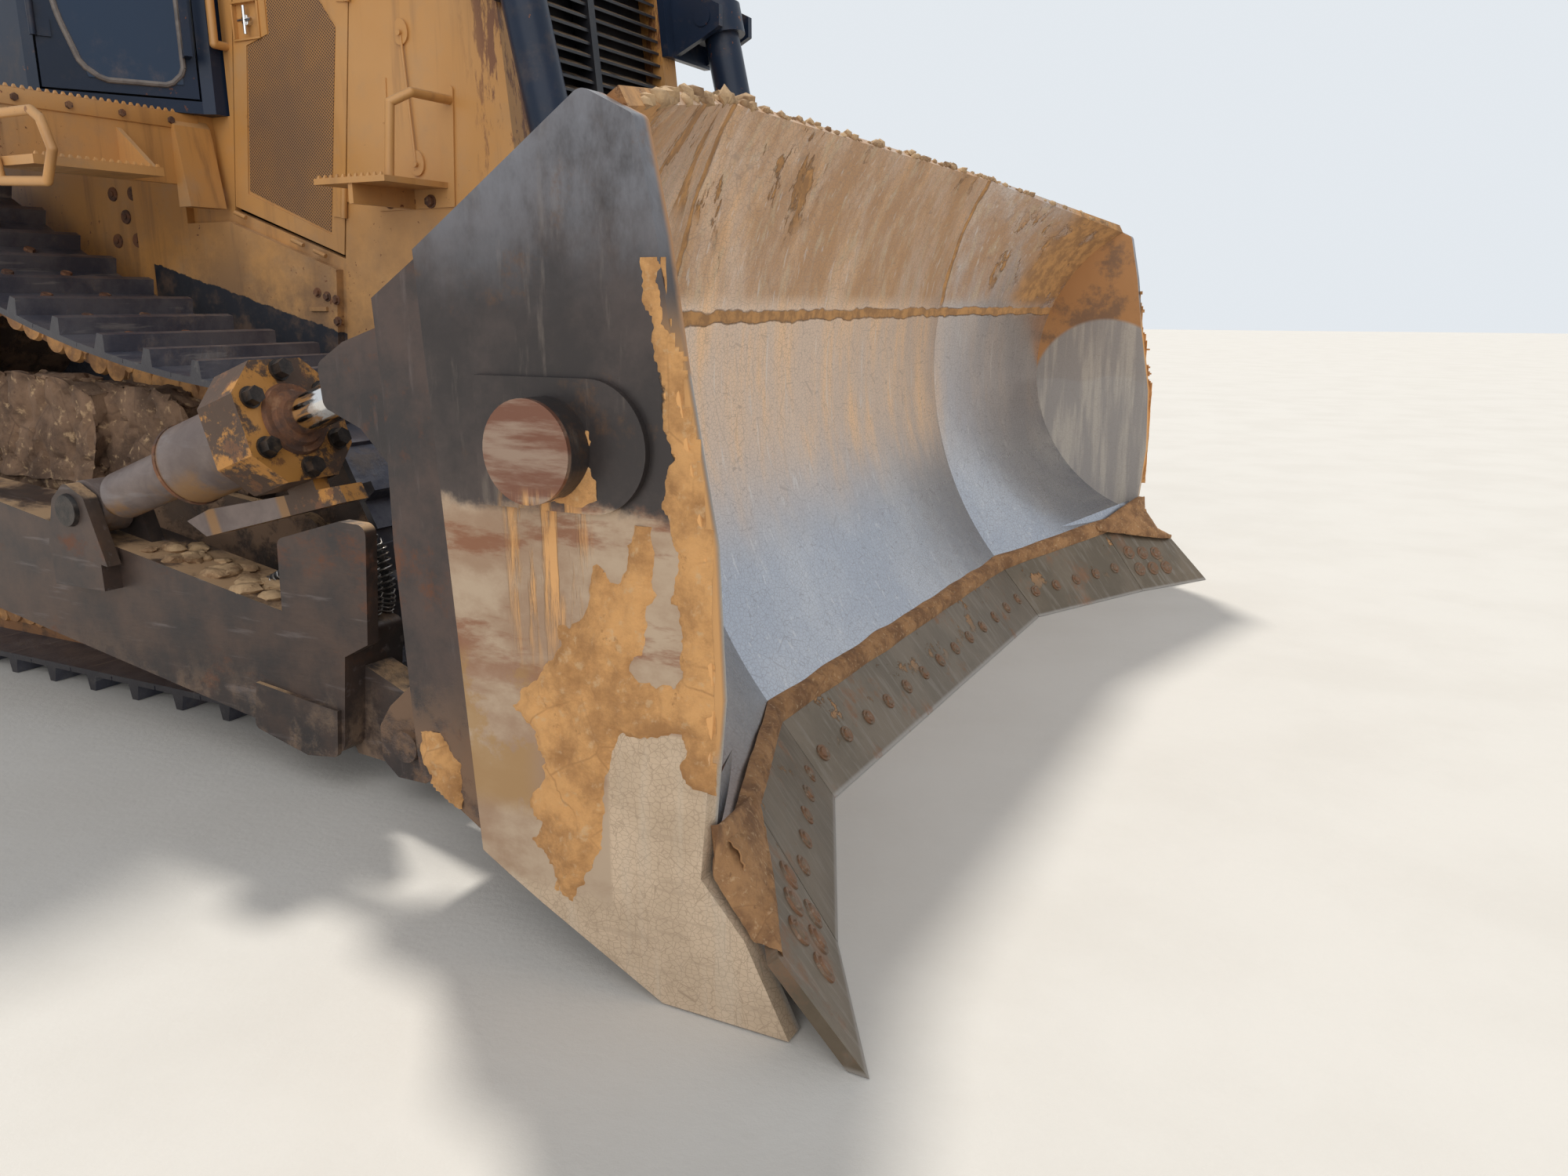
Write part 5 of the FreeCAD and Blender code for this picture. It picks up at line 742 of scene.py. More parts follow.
def tube(bm, points, radius, sides=3, smooth=True):
    """A round bar or hose along points, on a smooth line or with straight runs."""
    line = bpy.data.curves.new("line", "CURVE")
    line.dimensions = "3D"
    line.bevel_depth = radius
    line.bevel_resolution = sides
    line.use_fill_caps = True
    spline = line.splines.new("NURBS" if smooth else "POLY")
    spline.points.add(len(points) - 1)
    for point, spot in zip(spline.points, points):
        point.co = (*spot, 1)
    if smooth:
        spline.order_u = 3
        spline.use_endpoint_u = True
        spline.resolution_u = 6
    holder = bpy.data.objects.new("line", line)
    mesh = bpy.data.meshes.new_from_object(holder)
    bm.from_mesh(mesh)
    bpy.data.objects.remove(holder)
    bpy.data.meshes.remove(mesh)
    bpy.data.curves.remove(line)


def lump(bm, spot, size, seed, cuts=3, rough=0.35, square=0.0):
    """A clod: a ball pulled towards a box and roughened."""
    made = bmesh.ops.create_icosphere(bm, subdivisions=cuts, radius=1)
    spot, size = Vector(spot), Vector(size)
    for vertex in made["verts"]:
        point = vertex.co.copy()
        boxed = point / max(abs(point.x), abs(point.y), abs(point.z))
        point = point.lerp(boxed, square)
        away = noise.fractal(vertex.co * 1.6 + Vector((seed * 3.7, seed, -seed * 2.1)), 0.9, 2.0, 4)
        point *= 1 + away * rough
        vertex.co = spot + Vector((point.x * size.x, point.y * size.y, point.z * size.z))


def slab(bm, points, way):
    """A flat plate: its outline's points, and the way and distance to its other face."""
    face = bm.faces.new([bm.verts.new(point) for point in points])
    made = bmesh.ops.extrude_face_region(bm, geom=[face])
    moved = [item for item in made["geom"] if isinstance(item, bmesh.types.BMVert)]
    bmesh.ops.translate(bm, verts=moved, vec=way)


def upright_plate(bm, outline, low_y, high_y):
    """A plate with an outline of (forward, up) between two values of y."""
    slab(bm, [(x, low_y, z) for x, z in outline], (0, high_y - low_y, 0))


def packed(bm, outline, near, far, seed, grain=0.020):
    """Earth packed into a block with an outline of (forward, up): split by cracks, its faces crumbled."""
    part = bmesh.new()
    upright_plate(part, outline, near, far)
    bmesh.ops.recalc_face_normals(part, faces=part.faces)
    for axis in range(3):
        values = [vertex.co[axis] for vertex in part.verts]
        low, high = min(values), max(values)
        count = max(2, int((high - low) / grain))
        way = Vector([float(axis == other) for other in range(3)])
        for number in range(1, count):
            bmesh.ops.bisect_plane(part, geom=part.verts[:] + part.edges[:] + part.faces[:],
                                   plane_co=way * (low + (high - low) * number / count), plane_no=way)
    part.normal_update()
    moves = []
    for vertex in part.verts:
        spot = vertex.co + Vector((seed * 1.7, 0, seed * 0.9))
        spans = noise.voronoi(spot * 6.5, distance_metric="DISTANCE", exponent=2.5)[0]
        split = max(0.0, 1 - (spans[1] - spans[0]) / 0.10)
        rough = noise.fractal(spot * 9, 0.75, 2.1, 5)
        moves.append(vertex.normal * (0.012 * rough - 0.016 * spans[0] - 0.022 * split))
    for vertex, move in zip(part.verts, moves):
        vertex.co += move
    mesh = bpy.data.meshes.new("part")
    part.to_mesh(mesh)
    part.free()
    bm.from_mesh(mesh)
    bpy.data.meshes.remove(mesh)


def inside(x, z, outline):
    """Whether a point lies inside a closed outline."""
    found = False
    for number, (ax, az) in enumerate(outline):
        bx, bz = outline[number - 1]
        if (az > z) != (bz > z) and x < (bx - ax) * (z - az) / (bz - az) + ax:
            found = not found
    return found


def rim_distance(x, z, outline):
    """Distance from a point to the nearest side of a closed outline."""
    nearest = 1e9
    point = Vector((x, z))
    for number, spot in enumerate(outline):
        a, b = Vector(outline[number - 1]), Vector(spot)
        run = b - a
        share = max(0.0, min(1.0, (point - a).dot(run) / max(run.length_squared, 1e-12)))
        nearest = min(nearest, (a + run * share - point).length)
    return nearest


def crust(bm, outline, plane_y, side, thick, seed, cell=0.008):
    """A scab of clay on an upright plate: thick inside its ragged outline, thin at the rim."""
    xs, zs = [p[0] for p in outline], [p[1] for p in outline]
    low_x, high_x, low_z, high_z = min(xs), max(xs), min(zs), max(zs)
    columns, rows = int((high_x - low_x) / cell) + 1, int((high_z - low_z) / cell) + 1
    made = bmesh.ops.create_grid(bm, x_segments=columns, y_segments=rows, size=0.5)
    dropped = []
    for vertex in made["verts"]:
        x = low_x + (vertex.co.x + 0.5) * (high_x - low_x)
        z = low_z + (vertex.co.y + 0.5) * (high_z - low_z)
        ragged = noise.fractal(Vector((x * 15, z * 15, seed)), 0.7, 2.2, 5) * 0.020
        depth = rim_distance(x, z, outline) * (1 if inside(x, z, outline) else -1) + ragged
        relief = 0.55 + 0.6 * noise.fractal(Vector((x * 14, z * 14, seed + 5)), 0.8, 2.1, 5)
        rise = thick * min(1.0, max(0.0, depth) / 0.030) ** 0.6 * max(0.25, relief)
        sunk = min(0.006, max(0.0, -depth) * 0.8)
        vertex.co = Vector((x, plane_y + side * (rise + 0.0005 - sunk), z))
        if depth < -0.016:
            dropped.append(vertex)
    bmesh.ops.delete(bm, geom=dropped, context="VERTS")


def closed_sheet(bm, thick):
    """Turn open sheets into thin closed shells."""
    bmesh.ops.recalc_face_normals(bm, faces=bm.faces)
    bmesh.ops.solidify(bm, geom=bm.faces[:], thickness=thick)


def piece(bm, name, body, look, crease=40.0):
    """Close a mesh as a named piece that rides on a body."""
    bmesh.ops.recalc_face_normals(bm, faces=bm.faces)
    mesh = bpy.data.meshes.new(name)
    bm.to_mesh(mesh)
    bm.free()
    mesh.polygons.foreach_set("use_smooth", [True] * len(mesh.polygons))
    mesh.set_sharp_from_angle(angle=math.radians(crease))
    mesh.materials.append(finish(look))
    made = bpy.data.objects.new(name, mesh)
    bpy.context.scene.collection.objects.link(made)
    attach(made, body)
    return made


# Cutting edges: the lines of their tips and tops, at the folds and at the ends, on the right
FOLD_Y, JOINT_Y, WING_Y = 1.115, 1.825, 2.150
EDGE_TIP, EDGE_TOP = Vector((2.926, -FOLD_Y, 0.0)), Vector((2.739, -FOLD_Y, 0.223))
WING_TIP, WING_TOP = Vector((3.406, -WING_Y, 0.0)), Vector((3.180, -WING_Y, 0.328))
BIT_TIP, BIT_TOP = Vector((3.500, -2.228, 0.0)), Vector((3.310, -2.228, 0.199))
# Top of the mouldboard at a fold and at an end, as forward, 0 and up
CREST_FOLD, CREST_END = Vector((2.615, 0, 1.886)), Vector((2.981, 0, 1.716))
# Outer faces of the end plates, of the hood's side and doors, and of the side panels
PLATE_FACE, SKIN, HULL_SKIN = 2.200, 0.567, 0.600
# Pins of a tilt cylinder: at its base on the arm and at the rod's eye, on the left
TILT_BASE, TILT_EYE = Vector((0.646, 1.690, 0.764)), Vector((1.863, 1.690, 1.182))
# Centres of the front idler, the rear idler and the sprocket, as forward and up
FRONT, REAR, WHEEL = Vector((1.075, 0.592)), Vector((-2.399, 0.592)), Vector((-1.449, 1.330))


def wing_share(y):
    """How far out on a wing a place is: 0 up to the fold, 1 at the end."""
    return max(0.0, (abs(y) - FOLD_Y) / (WING_Y - FOLD_Y))


JOINT_SHARE = wing_share(JOINT_Y)


def on_face(corners, along, up, side):
    """Point and outward direction on an edge's face; corners are its tips and tops at both ends."""
    tip_a, top_a, tip_b, top_b = corners
    low, high = tip_a.lerp(tip_b, along), top_a.lerp(top_b, along)
    spot = low.lerp(high, up)
    way = (high - low).cross(tip_b - tip_a).normalized()
    if way.x < 0:
        way = -way
    return Vector((spot.x, spot.y * -side, spot.z)), Vector((way.x, way.y * -side, way.z))


def edge_faces():
    """Corners of the wing edge and of the end bit, on the right."""
    joint_tip, joint_top = EDGE_TIP.lerp(WING_TIP, JOINT_SHARE), EDGE_TOP.lerp(WING_TOP, JOINT_SHARE)
    return (EDGE_TIP, EDGE_TOP, joint_tip, joint_top), (joint_tip, joint_top, BIT_TIP, BIT_TOP)


class Step:
    """What every step of the build has in common."""
    bl_options = {"REGISTER", "UNDO"}

    def execute(self, context):
        self.build(context.scene)
        return {"FINISHED"}


class DOZER_OT_finishes(Step, bpy.types.Operator):
    """Give every part of the machine its own finish"""
    bl_idname = "dozer.finishes"
    bl_label = "Finishes"

    def build(self, scene):
        for name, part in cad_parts.items():
            for slot in part.material_slots:
                slot.material = finish(CAD_FINISHES[name])


class DOZER_OT_edge_bolts(Step, bpy.types.Operator):
    """Worn bolt heads in the cutting edges and end bits"""
    bl_idname = "dozer.edge_bolts"
    bl_label = "Edge bolts"

    def build(self, scene):
        sizes = scene.dozer_bolts
        bm = bmesh.new()
        mirrored = (EDGE_TIP, EDGE_TOP, EDGE_TIP * Vector((1, -1, 1)), EDGE_TOP * Vector((1, -1, 1)))
        rows, height = [], 0.42
        for number in range(sizes.centre_count):
            share = (number + 0.5) / sizes.centre_count
            rows.append((*on_face(mirrored, share, height, -1), sizes.edge_bolt))
        wing, bit = edge_faces()
        for side, _ in SIDES:
            for number in range(sizes.wing_count):
                share = (number + 0.6) / sizes.wing_count * 0.96
                rows.append((*on_face(wing, share, height, side), sizes.edge_bolt))
            for column in range(3):
                for up in (0.34, 0.62):
                    rows.append((*on_face(bit, 0.16 + 0.20 * column, up, side), sizes.bit_bolt))
        for spot, way, across in rows:
            disc(bm, spot - way * 0.004, way, across / 2, 0.008, 20, across / 2.15)
            disc(bm, spot + way * 0.003, way, across / 3, 0.006, 14, across / 3.6)
        piece(bm, "edge_bolts", "blade", "bolt")


class DOZER_OT_clay(Step, bpy.types.Operator):
    """Clay on the end plates, above the cutting edges and along the top of the blade"""
    bl_idname = "dozer.clay"
    bl_label = "Clay"

    # Outlines on the outer face of the end plates: (forward, up) in metres
    PATCHES = [
        [(2.692, 0.585), (2.745, 0.640), (2.800, 0.700), (2.828, 0.760), (2.880, 0.800), (2.915, 0.900),
         (2.945, 0.880), (2.985, 0.930), (3.012, 0.985), (3.040, 0.985), (3.035, 0.900), (3.020, 0.800),
         (2.985, 0.705), (3.036, 0.668), (3.100, 0.690), (3.150, 0.660), (3.150, 0.590), (2.952, 0.580),
         (2.915, 0.500), (2.905, 0.400), (2.885, 0.297), (2.850, 0.215), (2.822, 0.170), (2.775, 0.200),
         (2.740, 0.300), (2.728, 0.400), (2.760, 0.480), (2.735, 0.540)],
        [(3.098, 0.500), (3.160, 0.480), (3.166, 0.700), (3.166, 0.900), (3.134, 1.070), (3.098, 1.255),
         (3.060, 1.460), (3.032, 1.450), (3.058, 1.300), (3.072, 1.200), (3.086, 1.110), (3.066, 1.030),
         (3.102, 0.930), (3.078, 0.850), (3.108, 0.770), (3.088, 0.680)],
        [(2.778, 1.012), (2.925, 1.022), (2.930, 1.060), (2.905, 1.105), (2.915, 1.155), (2.890, 1.160),
         (2.880, 1.100), (2.845, 1.040), (2.790, 1.028)],
    ]
    REAR_PATCH = [(2.242, 0.392), (2.300, 0.400), (2.352, 0.350), (2.372, 0.290), (2.368, 0.222),
                  (2.330, 0.240), (2.260, 0.282)]

    def build(self, scene):
        sizes = scene.dozer_earth
        for side, hand in SIDES:
            bm = bmesh.new()
            for number, outline in enumerate(self.PATCHES):
                plane = PLATE_FACE + (0.015 if number == 2 else 0.0)
                thick = sizes.crust * (0.6 if number else 1.0)
                crust(bm, outline, plane * side, side, thick, number * 3 + side * 7)
            crust(bm, self.REAR_PATCH, 2.020 * side, side, sizes.crust * 1.2, 31 + side)
            closed_sheet(bm, 0.003)
            piece(bm, f"clay_patches_{hand}", "blade", "clay", crease=70)
        self.ledge(sizes)
        self.fans()
        self.crumbs(sizes)

    def ledge(self, sizes):
        """A bead of clay in the corner above the cutting edges."""
        bm = bmesh.new()
        across, along = 7, 420
        made = bmesh.ops.create_grid(bm, x_segments=along, y_segments=across, size=0.5)
        for vertex in made["verts"]:
            y = vertex.co.x * 2 * (WING_Y - 0.002)
            part = vertex.co.y + 0.5
            share = wing_share(y)
            tip, top = EDGE_TIP.lerp(WING_TIP, share), EDGE_TOP.lerp(WING_TOP, share)
            slope = (top - tip).normalized()
            way = Vector((slope.z, 0, -slope.x))
            wide = 0.068 + 0.014 * noise.noise(Vector((y * 5, 3, 1)))
            grow = math.sin(math.pi * min(1.0, part * 1.02)) ** 0.6 if part < 0.98 else 0.0
            relief = 0.75 + 0.45 * noise.fractal(Vector((y * 26, part * 5, 2)), 0.75, 2.1, 5)
            height = sizes.ledge * grow * max(0.3, relief)
            spot = top + slope * ((part - 0.35) * wide) + way * (height - 0.001)
            vertex.co = Vector((spot.x, y, spot.z))
        closed_sheet(bm, 0.003)
        piece(bm, "clay_ledge", "blade", "wet_clay", crease=70)

    def fans(self):
        """Clay that fills the corner between an end plate and the upper edge of the end bit."""
        start = EDGE_TOP.lerp(WING_TOP, JOINT_SHARE - 0.06)
        ends = [Vector((3.150, -2.176, 0.400)), Vector((3.146, -2.194, 0.298)), Vector((3.234, -2.194, 0.182)),
                Vector((3.306, -2.212, 0.190))]
        bm = bmesh.new()
        for side, _ in SIDES:
            made = bmesh.ops.create_grid(bm, x_segments=60, y_segments=40, size=0.5)
            for vertex in made["verts"]:
                along, down = vertex.co.x + 0.5, vertex.co.y + 0.5
                number = min(int(down * 3), 2)
                far = ends[number].lerp(ends[number + 1], down * 3 - number)
                spot = start.lerp(far, along)
                inward = math.sin(math.pi * min(1.0, max(0.0, along)) ** 2.2) ** 0.5
                swell = inward * math.sin(math.pi * min(1.0, max(0.0, down))) ** 0.7
                rough = abs(noise.fractal(spot * 30, 0.9, 2.1, 5))
                spot += Vector((0.55, 0, 0.83)) * (0.012 + 0.062 * swell + 0.005 * rough)
                vertex.co = Vector((spot.x, spot.y * -side, spot.z))
        closed_sheet(bm, 0.016)
        piece(bm, "clay_fans", "blade", "wet_clay", crease=70)

    def crumbs(self, sizes):
        """Clods that lie on the top of the mouldboard."""
        bm = bmesh.new()
        draw = random.Random(7)
        for number in range(sizes.crumb_count):
            y = draw.uniform(-2.10, 2.10)
            front = CREST_FOLD.lerp(CREST_END, wing_share(y))
            size = draw.uniform(0.006, 0.019) * (1.25 if -2.1 < y < -0.9 else 0.8)
            back = draw.uniform(0.004, 0.030)
            spot = (front.x - back, y, front.z + back * 0.55 + size * 0.35)
            lump(bm, spot, (size * 1.3, size * 1.5, size), number, 1, 0.5)
        piece(bm, "blade_top_crumbs", "blade", "dry_soil", crease=60)


class DOZER_OT_mud(Step, bpy.types.Operator):
    """Dried mud packed between the track frames and the upper run, and on the push arms"""
    bl_idname = "dozer.mud"
    bl_label = "Mud"

    # Blocks above a track frame: outline of (forward, up), then near and far side, in metres
    BLOCKS = [
        ([(-1.400, 0.742), (0.600, 0.742), (0.560, 0.860), (0.300, 0.930), (-0.050, 0.960), (-0.350, 0.930),
          (-0.800, 0.900), (-1.100, 0.830), (-1.350, 0.780)], 0.976, 1.274),
        ([(-0.370, 0.762), (0.215, 0.762), (0.275, 0.930), (0.262, 1.080), (0.120, 1.130), (-0.245, 1.155),
          (-0.335, 1.000)], 1.270, 1.440),
        ([(-0.372, 0.662), (0.120, 0.690), (0.232, 0.780), (0.232, 0.840), (-0.350, 0.840)], 1.316, 1.425),
        ([(0.200, 0.762), (0.640, 0.762), (0.664, 0.850), (0.650, 1.060), (0.540, 1.105), (0.220, 1.125)],
         1.270, 1.385),
        ([(-1.250, 0.775), (-0.470, 0.775), (-0.490, 0.900), (-0.640, 1.040), (-0.860, 1.060), (-1.110, 0.900)],
         1.270, 1.410),
    ]
    # Ends of a push arm's top edge, as forward and up
    ARM_REAR, ARM_FRONT = Vector((0.184, 0.746)), Vector((1.712, 0.488))

    def build(self, scene):
        bm = bmesh.new()
        for side, _ in SIDES:
            for number, (outline, near, far) in enumerate(self.BLOCKS):
                packed(bm, outline, near * side, far * side, number * 3 + side)
        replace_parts(piece(bm, "packed_mud", "chassis", "mud", crease=32), "track_mud")
        for side, hand in SIDES:
            bm = bmesh.new()
            draw = random.Random(11 + side)
            for number in range(70):
                x = draw.uniform(0.55, 1.50)
                size = draw.uniform(0.010, 0.034)
                run = self.ARM_FRONT - self.ARM_REAR
                top = self.ARM_REAR.y + (x - self.ARM_REAR.x) * run.y / run.x
                if abs(x - TILT_BASE.x) < 0.19:
                    continue
                lump(bm, (x, side * draw.uniform(1.545, 1.700), top + size * 0.1),
                     (size * 1.5, size * 1.3, size * 0.55), number, 2, 0.4)
            piece(bm, f"arm_soil_{hand}", "push_arms", "dry_soil", crease=50)


def track_pins():
    """Pin centres of a track round its two idlers and the raised sprocket, as (forward, up)."""
    small, large, slack, count = 0.450, 0.515, 5.0, 43
    line = WHEEL - FRONT
    along = ((slack + small) ** 2 - (slack + large) ** 2 + line.length_squared) / (2 * line.length)
    off = math.sqrt((slack + small) ** 2 - along ** 2)
    unit = line.normalized()
    hang = FRONT + unit * along + Vector((unit.y, -unit.x)) * off
    if hang.y < FRONT.y:
        hang = FRONT + unit * along - Vector((unit.y, -unit.x)) * off
    leave = math.atan2(hang.y - FRONT.y, hang.x - FRONT.x)
    meet = math.atan2(hang.y - WHEEL.y, hang.x - WHEEL.x)
    reach = (REAR - WHEEL).length
    slope = math.atan2(REAR.y - WHEEL.y, REAR.x - WHEEL.x)
    normal = (slope - math.acos((large - small) / reach)) % (2 * math.pi)

    def on_circle(centre, radius, angle):
        return centre + Vector((math.cos(angle), math.sin(angle))) * radius

    def arc(centre, radius, start, end):
        return radius * abs(end - start), lambda part: on_circle(centre, radius, start + (end - start) * part)

    def straight(start, end):
        return (end - start).length, lambda part: start.lerp(end, part)

    down = -math.pi / 2
    stretches = [straight(on_circle(REAR, small, down), on_circle(FRONT, small, down)),
                 arc(FRONT, small, down, leave), arc(hang, slack, leave - math.pi, meet - math.pi),
                 arc(WHEEL, large, meet, normal),
                 straight(on_circle(WHEEL, large, normal), on_circle(REAR, small, normal)),
                 arc(REAR, small, normal, down + 2 * math.pi)]
    pitch = sum(run for run, _ in stretches) / count
    pins = []
    for number in range(count):
        way = number * pitch
        for run, place in stretches:
            if way <= run:
                pins.append(place(way / run))
                break
            way -= run
    return pins


class DOZER_OT_track_links(Step, bpy.types.Operator):
    """Link plates, pin ends and shoe bolts of both tracks"""
    bl_idname = "dozer.track_links"
    bl_label = "Track links"

    def build(self, scene):
        pins = track_pins()
        for side, hand in SIDES:
            links, bolts = bmesh.new(), bmesh.new()
            middle = TRACK_Y * side
            for number, start in enumerate(pins):
                end = pins[(number + 1) % len(pins)]
                run = (end - start).normalized()
                out = Vector((run.y, -run.x))
                centre = (start + end) / 2
                for face in (-1, 1):
                    y = middle + face * 0.140
                    spot = centre - out * 0.014
                    turn = Matrix.Rotation(-math.atan2(run.y, run.x), 4, "Y")
                    place = Matrix.Translation((spot.x, y, spot.y)) @ turn
                    block(links, (-0.108, -0.0045, -0.040), (0.108, 0.0045, 0.040), 0.004, place)
                    for along in (-0.050, 0.050):
                        lobe = spot + run * along - out * 0.014
                        disc(links, (lobe.x, y - face * 0.004, lobe.y), (0, face, 0), 0.056, 0.018, 18, 0.050)
                    disc(links, (start.x, y + face * 0.004, start.y), (0, face, 0), 0.030, 0.012, 12, 0.026)
                    for along in (-0.062, 0.062):
                        at = centre + run * along + out * 0.086
                        bolt(bolts, (at.x, middle + face * 0.112, at.y), (out.x, 0, out.y), 0.036, 0.014)
            piece(links, f"track_links_{hand}", "chassis", "link")
            piece(bolts, f"shoe_bolts_{hand}", "chassis", "rust")


class DOZER_OT_tilt_heads(Step, bpy.types.Operator):
    """Bolts, gland ring and pins of the tilt cylinders"""
    bl_idname = "dozer.tilt_heads"
    bl_label = "Tilt cylinder heads"

    def build(self, scene):
        flats = scene.dozer_bolts.head_bolt
        for side, hand in SIDES:
            flip = Vector((1, side, 1))
            base, eye = TILT_BASE * flip, TILT_EYE * flip
            way = (eye - base).normalized()
            across = Vector((0, side, 0))
            up = across.cross(way).normalized() * -side
            bm = bmesh.new()
            face = base + way * 0.950
            for number in range(6):
                angle = math.radians(30 + 60 * number)
                spot = face + (across * math.cos(angle) + up * math.sin(angle)) * 0.138
                bolt(bm, spot, way, flats, 0.028, flats * 0.68)
            disc(bm, base + across * 0.105, across, 0.052, 0.014, 20, 0.048)
            piece(bm, f"tilt_head_bolts_{hand}", f"tilt_cylinder_{hand}", "black_oil")
            bm = bmesh.new()
            disc(bm, face, way, 0.102, 0.012, 40, 0.096)
            disc(bm, face + way * 0.012, way, 0.080, 0.014, 40, 0.074)
            disc(bm, base + way * 0.478, way, 0.123, 0.012, 32)
            disc(bm, base + way * 0.786, way, 0.124, 0.013, 32)
            piece(bm, f"tilt_rings_{hand}", f"tilt_cylinder_{hand}", "rust")
            bm = bmesh.new()
            disc(bm, eye + across * 0.0505, across, 0.044, 0.030, 20, 0.040)
            piece(bm, f"tilt_eye_pin_{hand}", f"tilt_rod_{hand}", "rust")


class DOZER_OT_hoses(Step, bpy.types.Operator):
    """Hoses in coiled guards behind the push arms' front shields"""
    bl_idname = "dozer.hoses"
    bl_label = "Hoses"

    def build(self, scene):
        for side, hand in SIDES:
            hoses, springs = bmesh.new(), bmesh.new()
            for shift in (0.0, 0.048):
                points = [(1.22, 1.60 - shift, 0.545), (1.34, 1.60 - shift, 0.60), (1.52, 1.585 - shift, 0.74),
                          (1.64, 1.57 - shift, 0.70), (1.665, 1.565 - shift, 0.56), (1.640, 1.57 - shift, 0.47)]
                points = [Vector((x, y * side, z)) for x, y, z in points]
                tube(hoses, points, 0.014, 2)
                self.coil(springs, points, 0.018)
            piece(hoses, f"hoses_{hand}", "push_arms", "rubber")
            piece(springs, f"hose_springs_{hand}", "push_arms", "spring")

    def coil(self, bm, points, radius):
        """A spring round the line through the points."""
        turns, spots = 34, []
        for number in range(turns * 8 + 1):
            share = 0.10 + 0.85 * number / (turns * 8)
            way = share * (len(points) - 1)
            first = min(int(way), len(points) - 2)
            part = way - first
            before, here = points[max(first - 1, 0)], points[first]
            there, after = points[first + 1], points[min(first + 2, len(points) - 1)]
            spot = (here * 2 + (there - before) * part + (before * 2 - here * 5 + there * 4 - after) * part ** 2
                    + (here * 3 - before - there * 3 + after) * part ** 3) * 0.5
            run = (there - here).normalized()
            first_side = run.cross(Vector((0, 1, 0))).normalized()
            second_side = run.cross(first_side)
            angle = number * math.pi / 4
            spots.append(spot + (first_side * math.cos(angle) + second_side * math.sin(angle)) * radius)
        tube(bm, spots, 0.0028, 1, False)


class DOZER_OT_door_fittings(Step, bpy.types.Operator):
    """Perforated sheets and latches of the engine doors"""
    bl_idname = "dozer.door_fittings"
    bl_label = "Engine door fittings"

    SHEET = [(0.108, 1.812), (0.532, 1.645), (0.642, 2.362), (0.498, 2.560), (0.300, 2.560), (0.296, 2.372),
             (0.176, 2.338)]

    def build(self, scene):
        for side, hand in SIDES:
            body = f"engine_door_{hand}"
            bm = bmesh.new()
            upright_plate(bm, self.SHEET, (SKIN - 0.0048) * side, (SKIN - 0.0028) * side)
            piece(bm, f"door_mesh_{hand}", body, "door_mesh")
            bm = bmesh.new()
            for low, high in (((0.112, 2.357), (0.258, 2.365)), ((0.112, 2.490), (0.258, 2.498)),
                              ((0.112, 2.365), (0.120, 2.490)), ((0.250, 2.365), (0.258, 2.490))):
                side_block(bm, side, (low[0], SKIN, low[1]), (high[0], SKIN + 0.007, high[1]), 0.002)
            piece(bm, f"latch_frame_{hand}", body, "yellow")
            bm = bmesh.new()
            out = Vector((0, side, 0))
            disc(bm, (0.185, 0.552 * side, 2.428), out, 0.020, 0.020, 16)
            tube(bm, [(0.185, 0.575 * side, 2.378), (0.185, 0.575 * side, 2.478)], 0.007, 3, False)
            tube(bm, [(0.150, 0.574 * side, 2.428), (0.220, 0.574 * side, 2.428)], 0.006, 3, False)
            piece(bm, f"latch_handle_{hand}", body, "chrome")


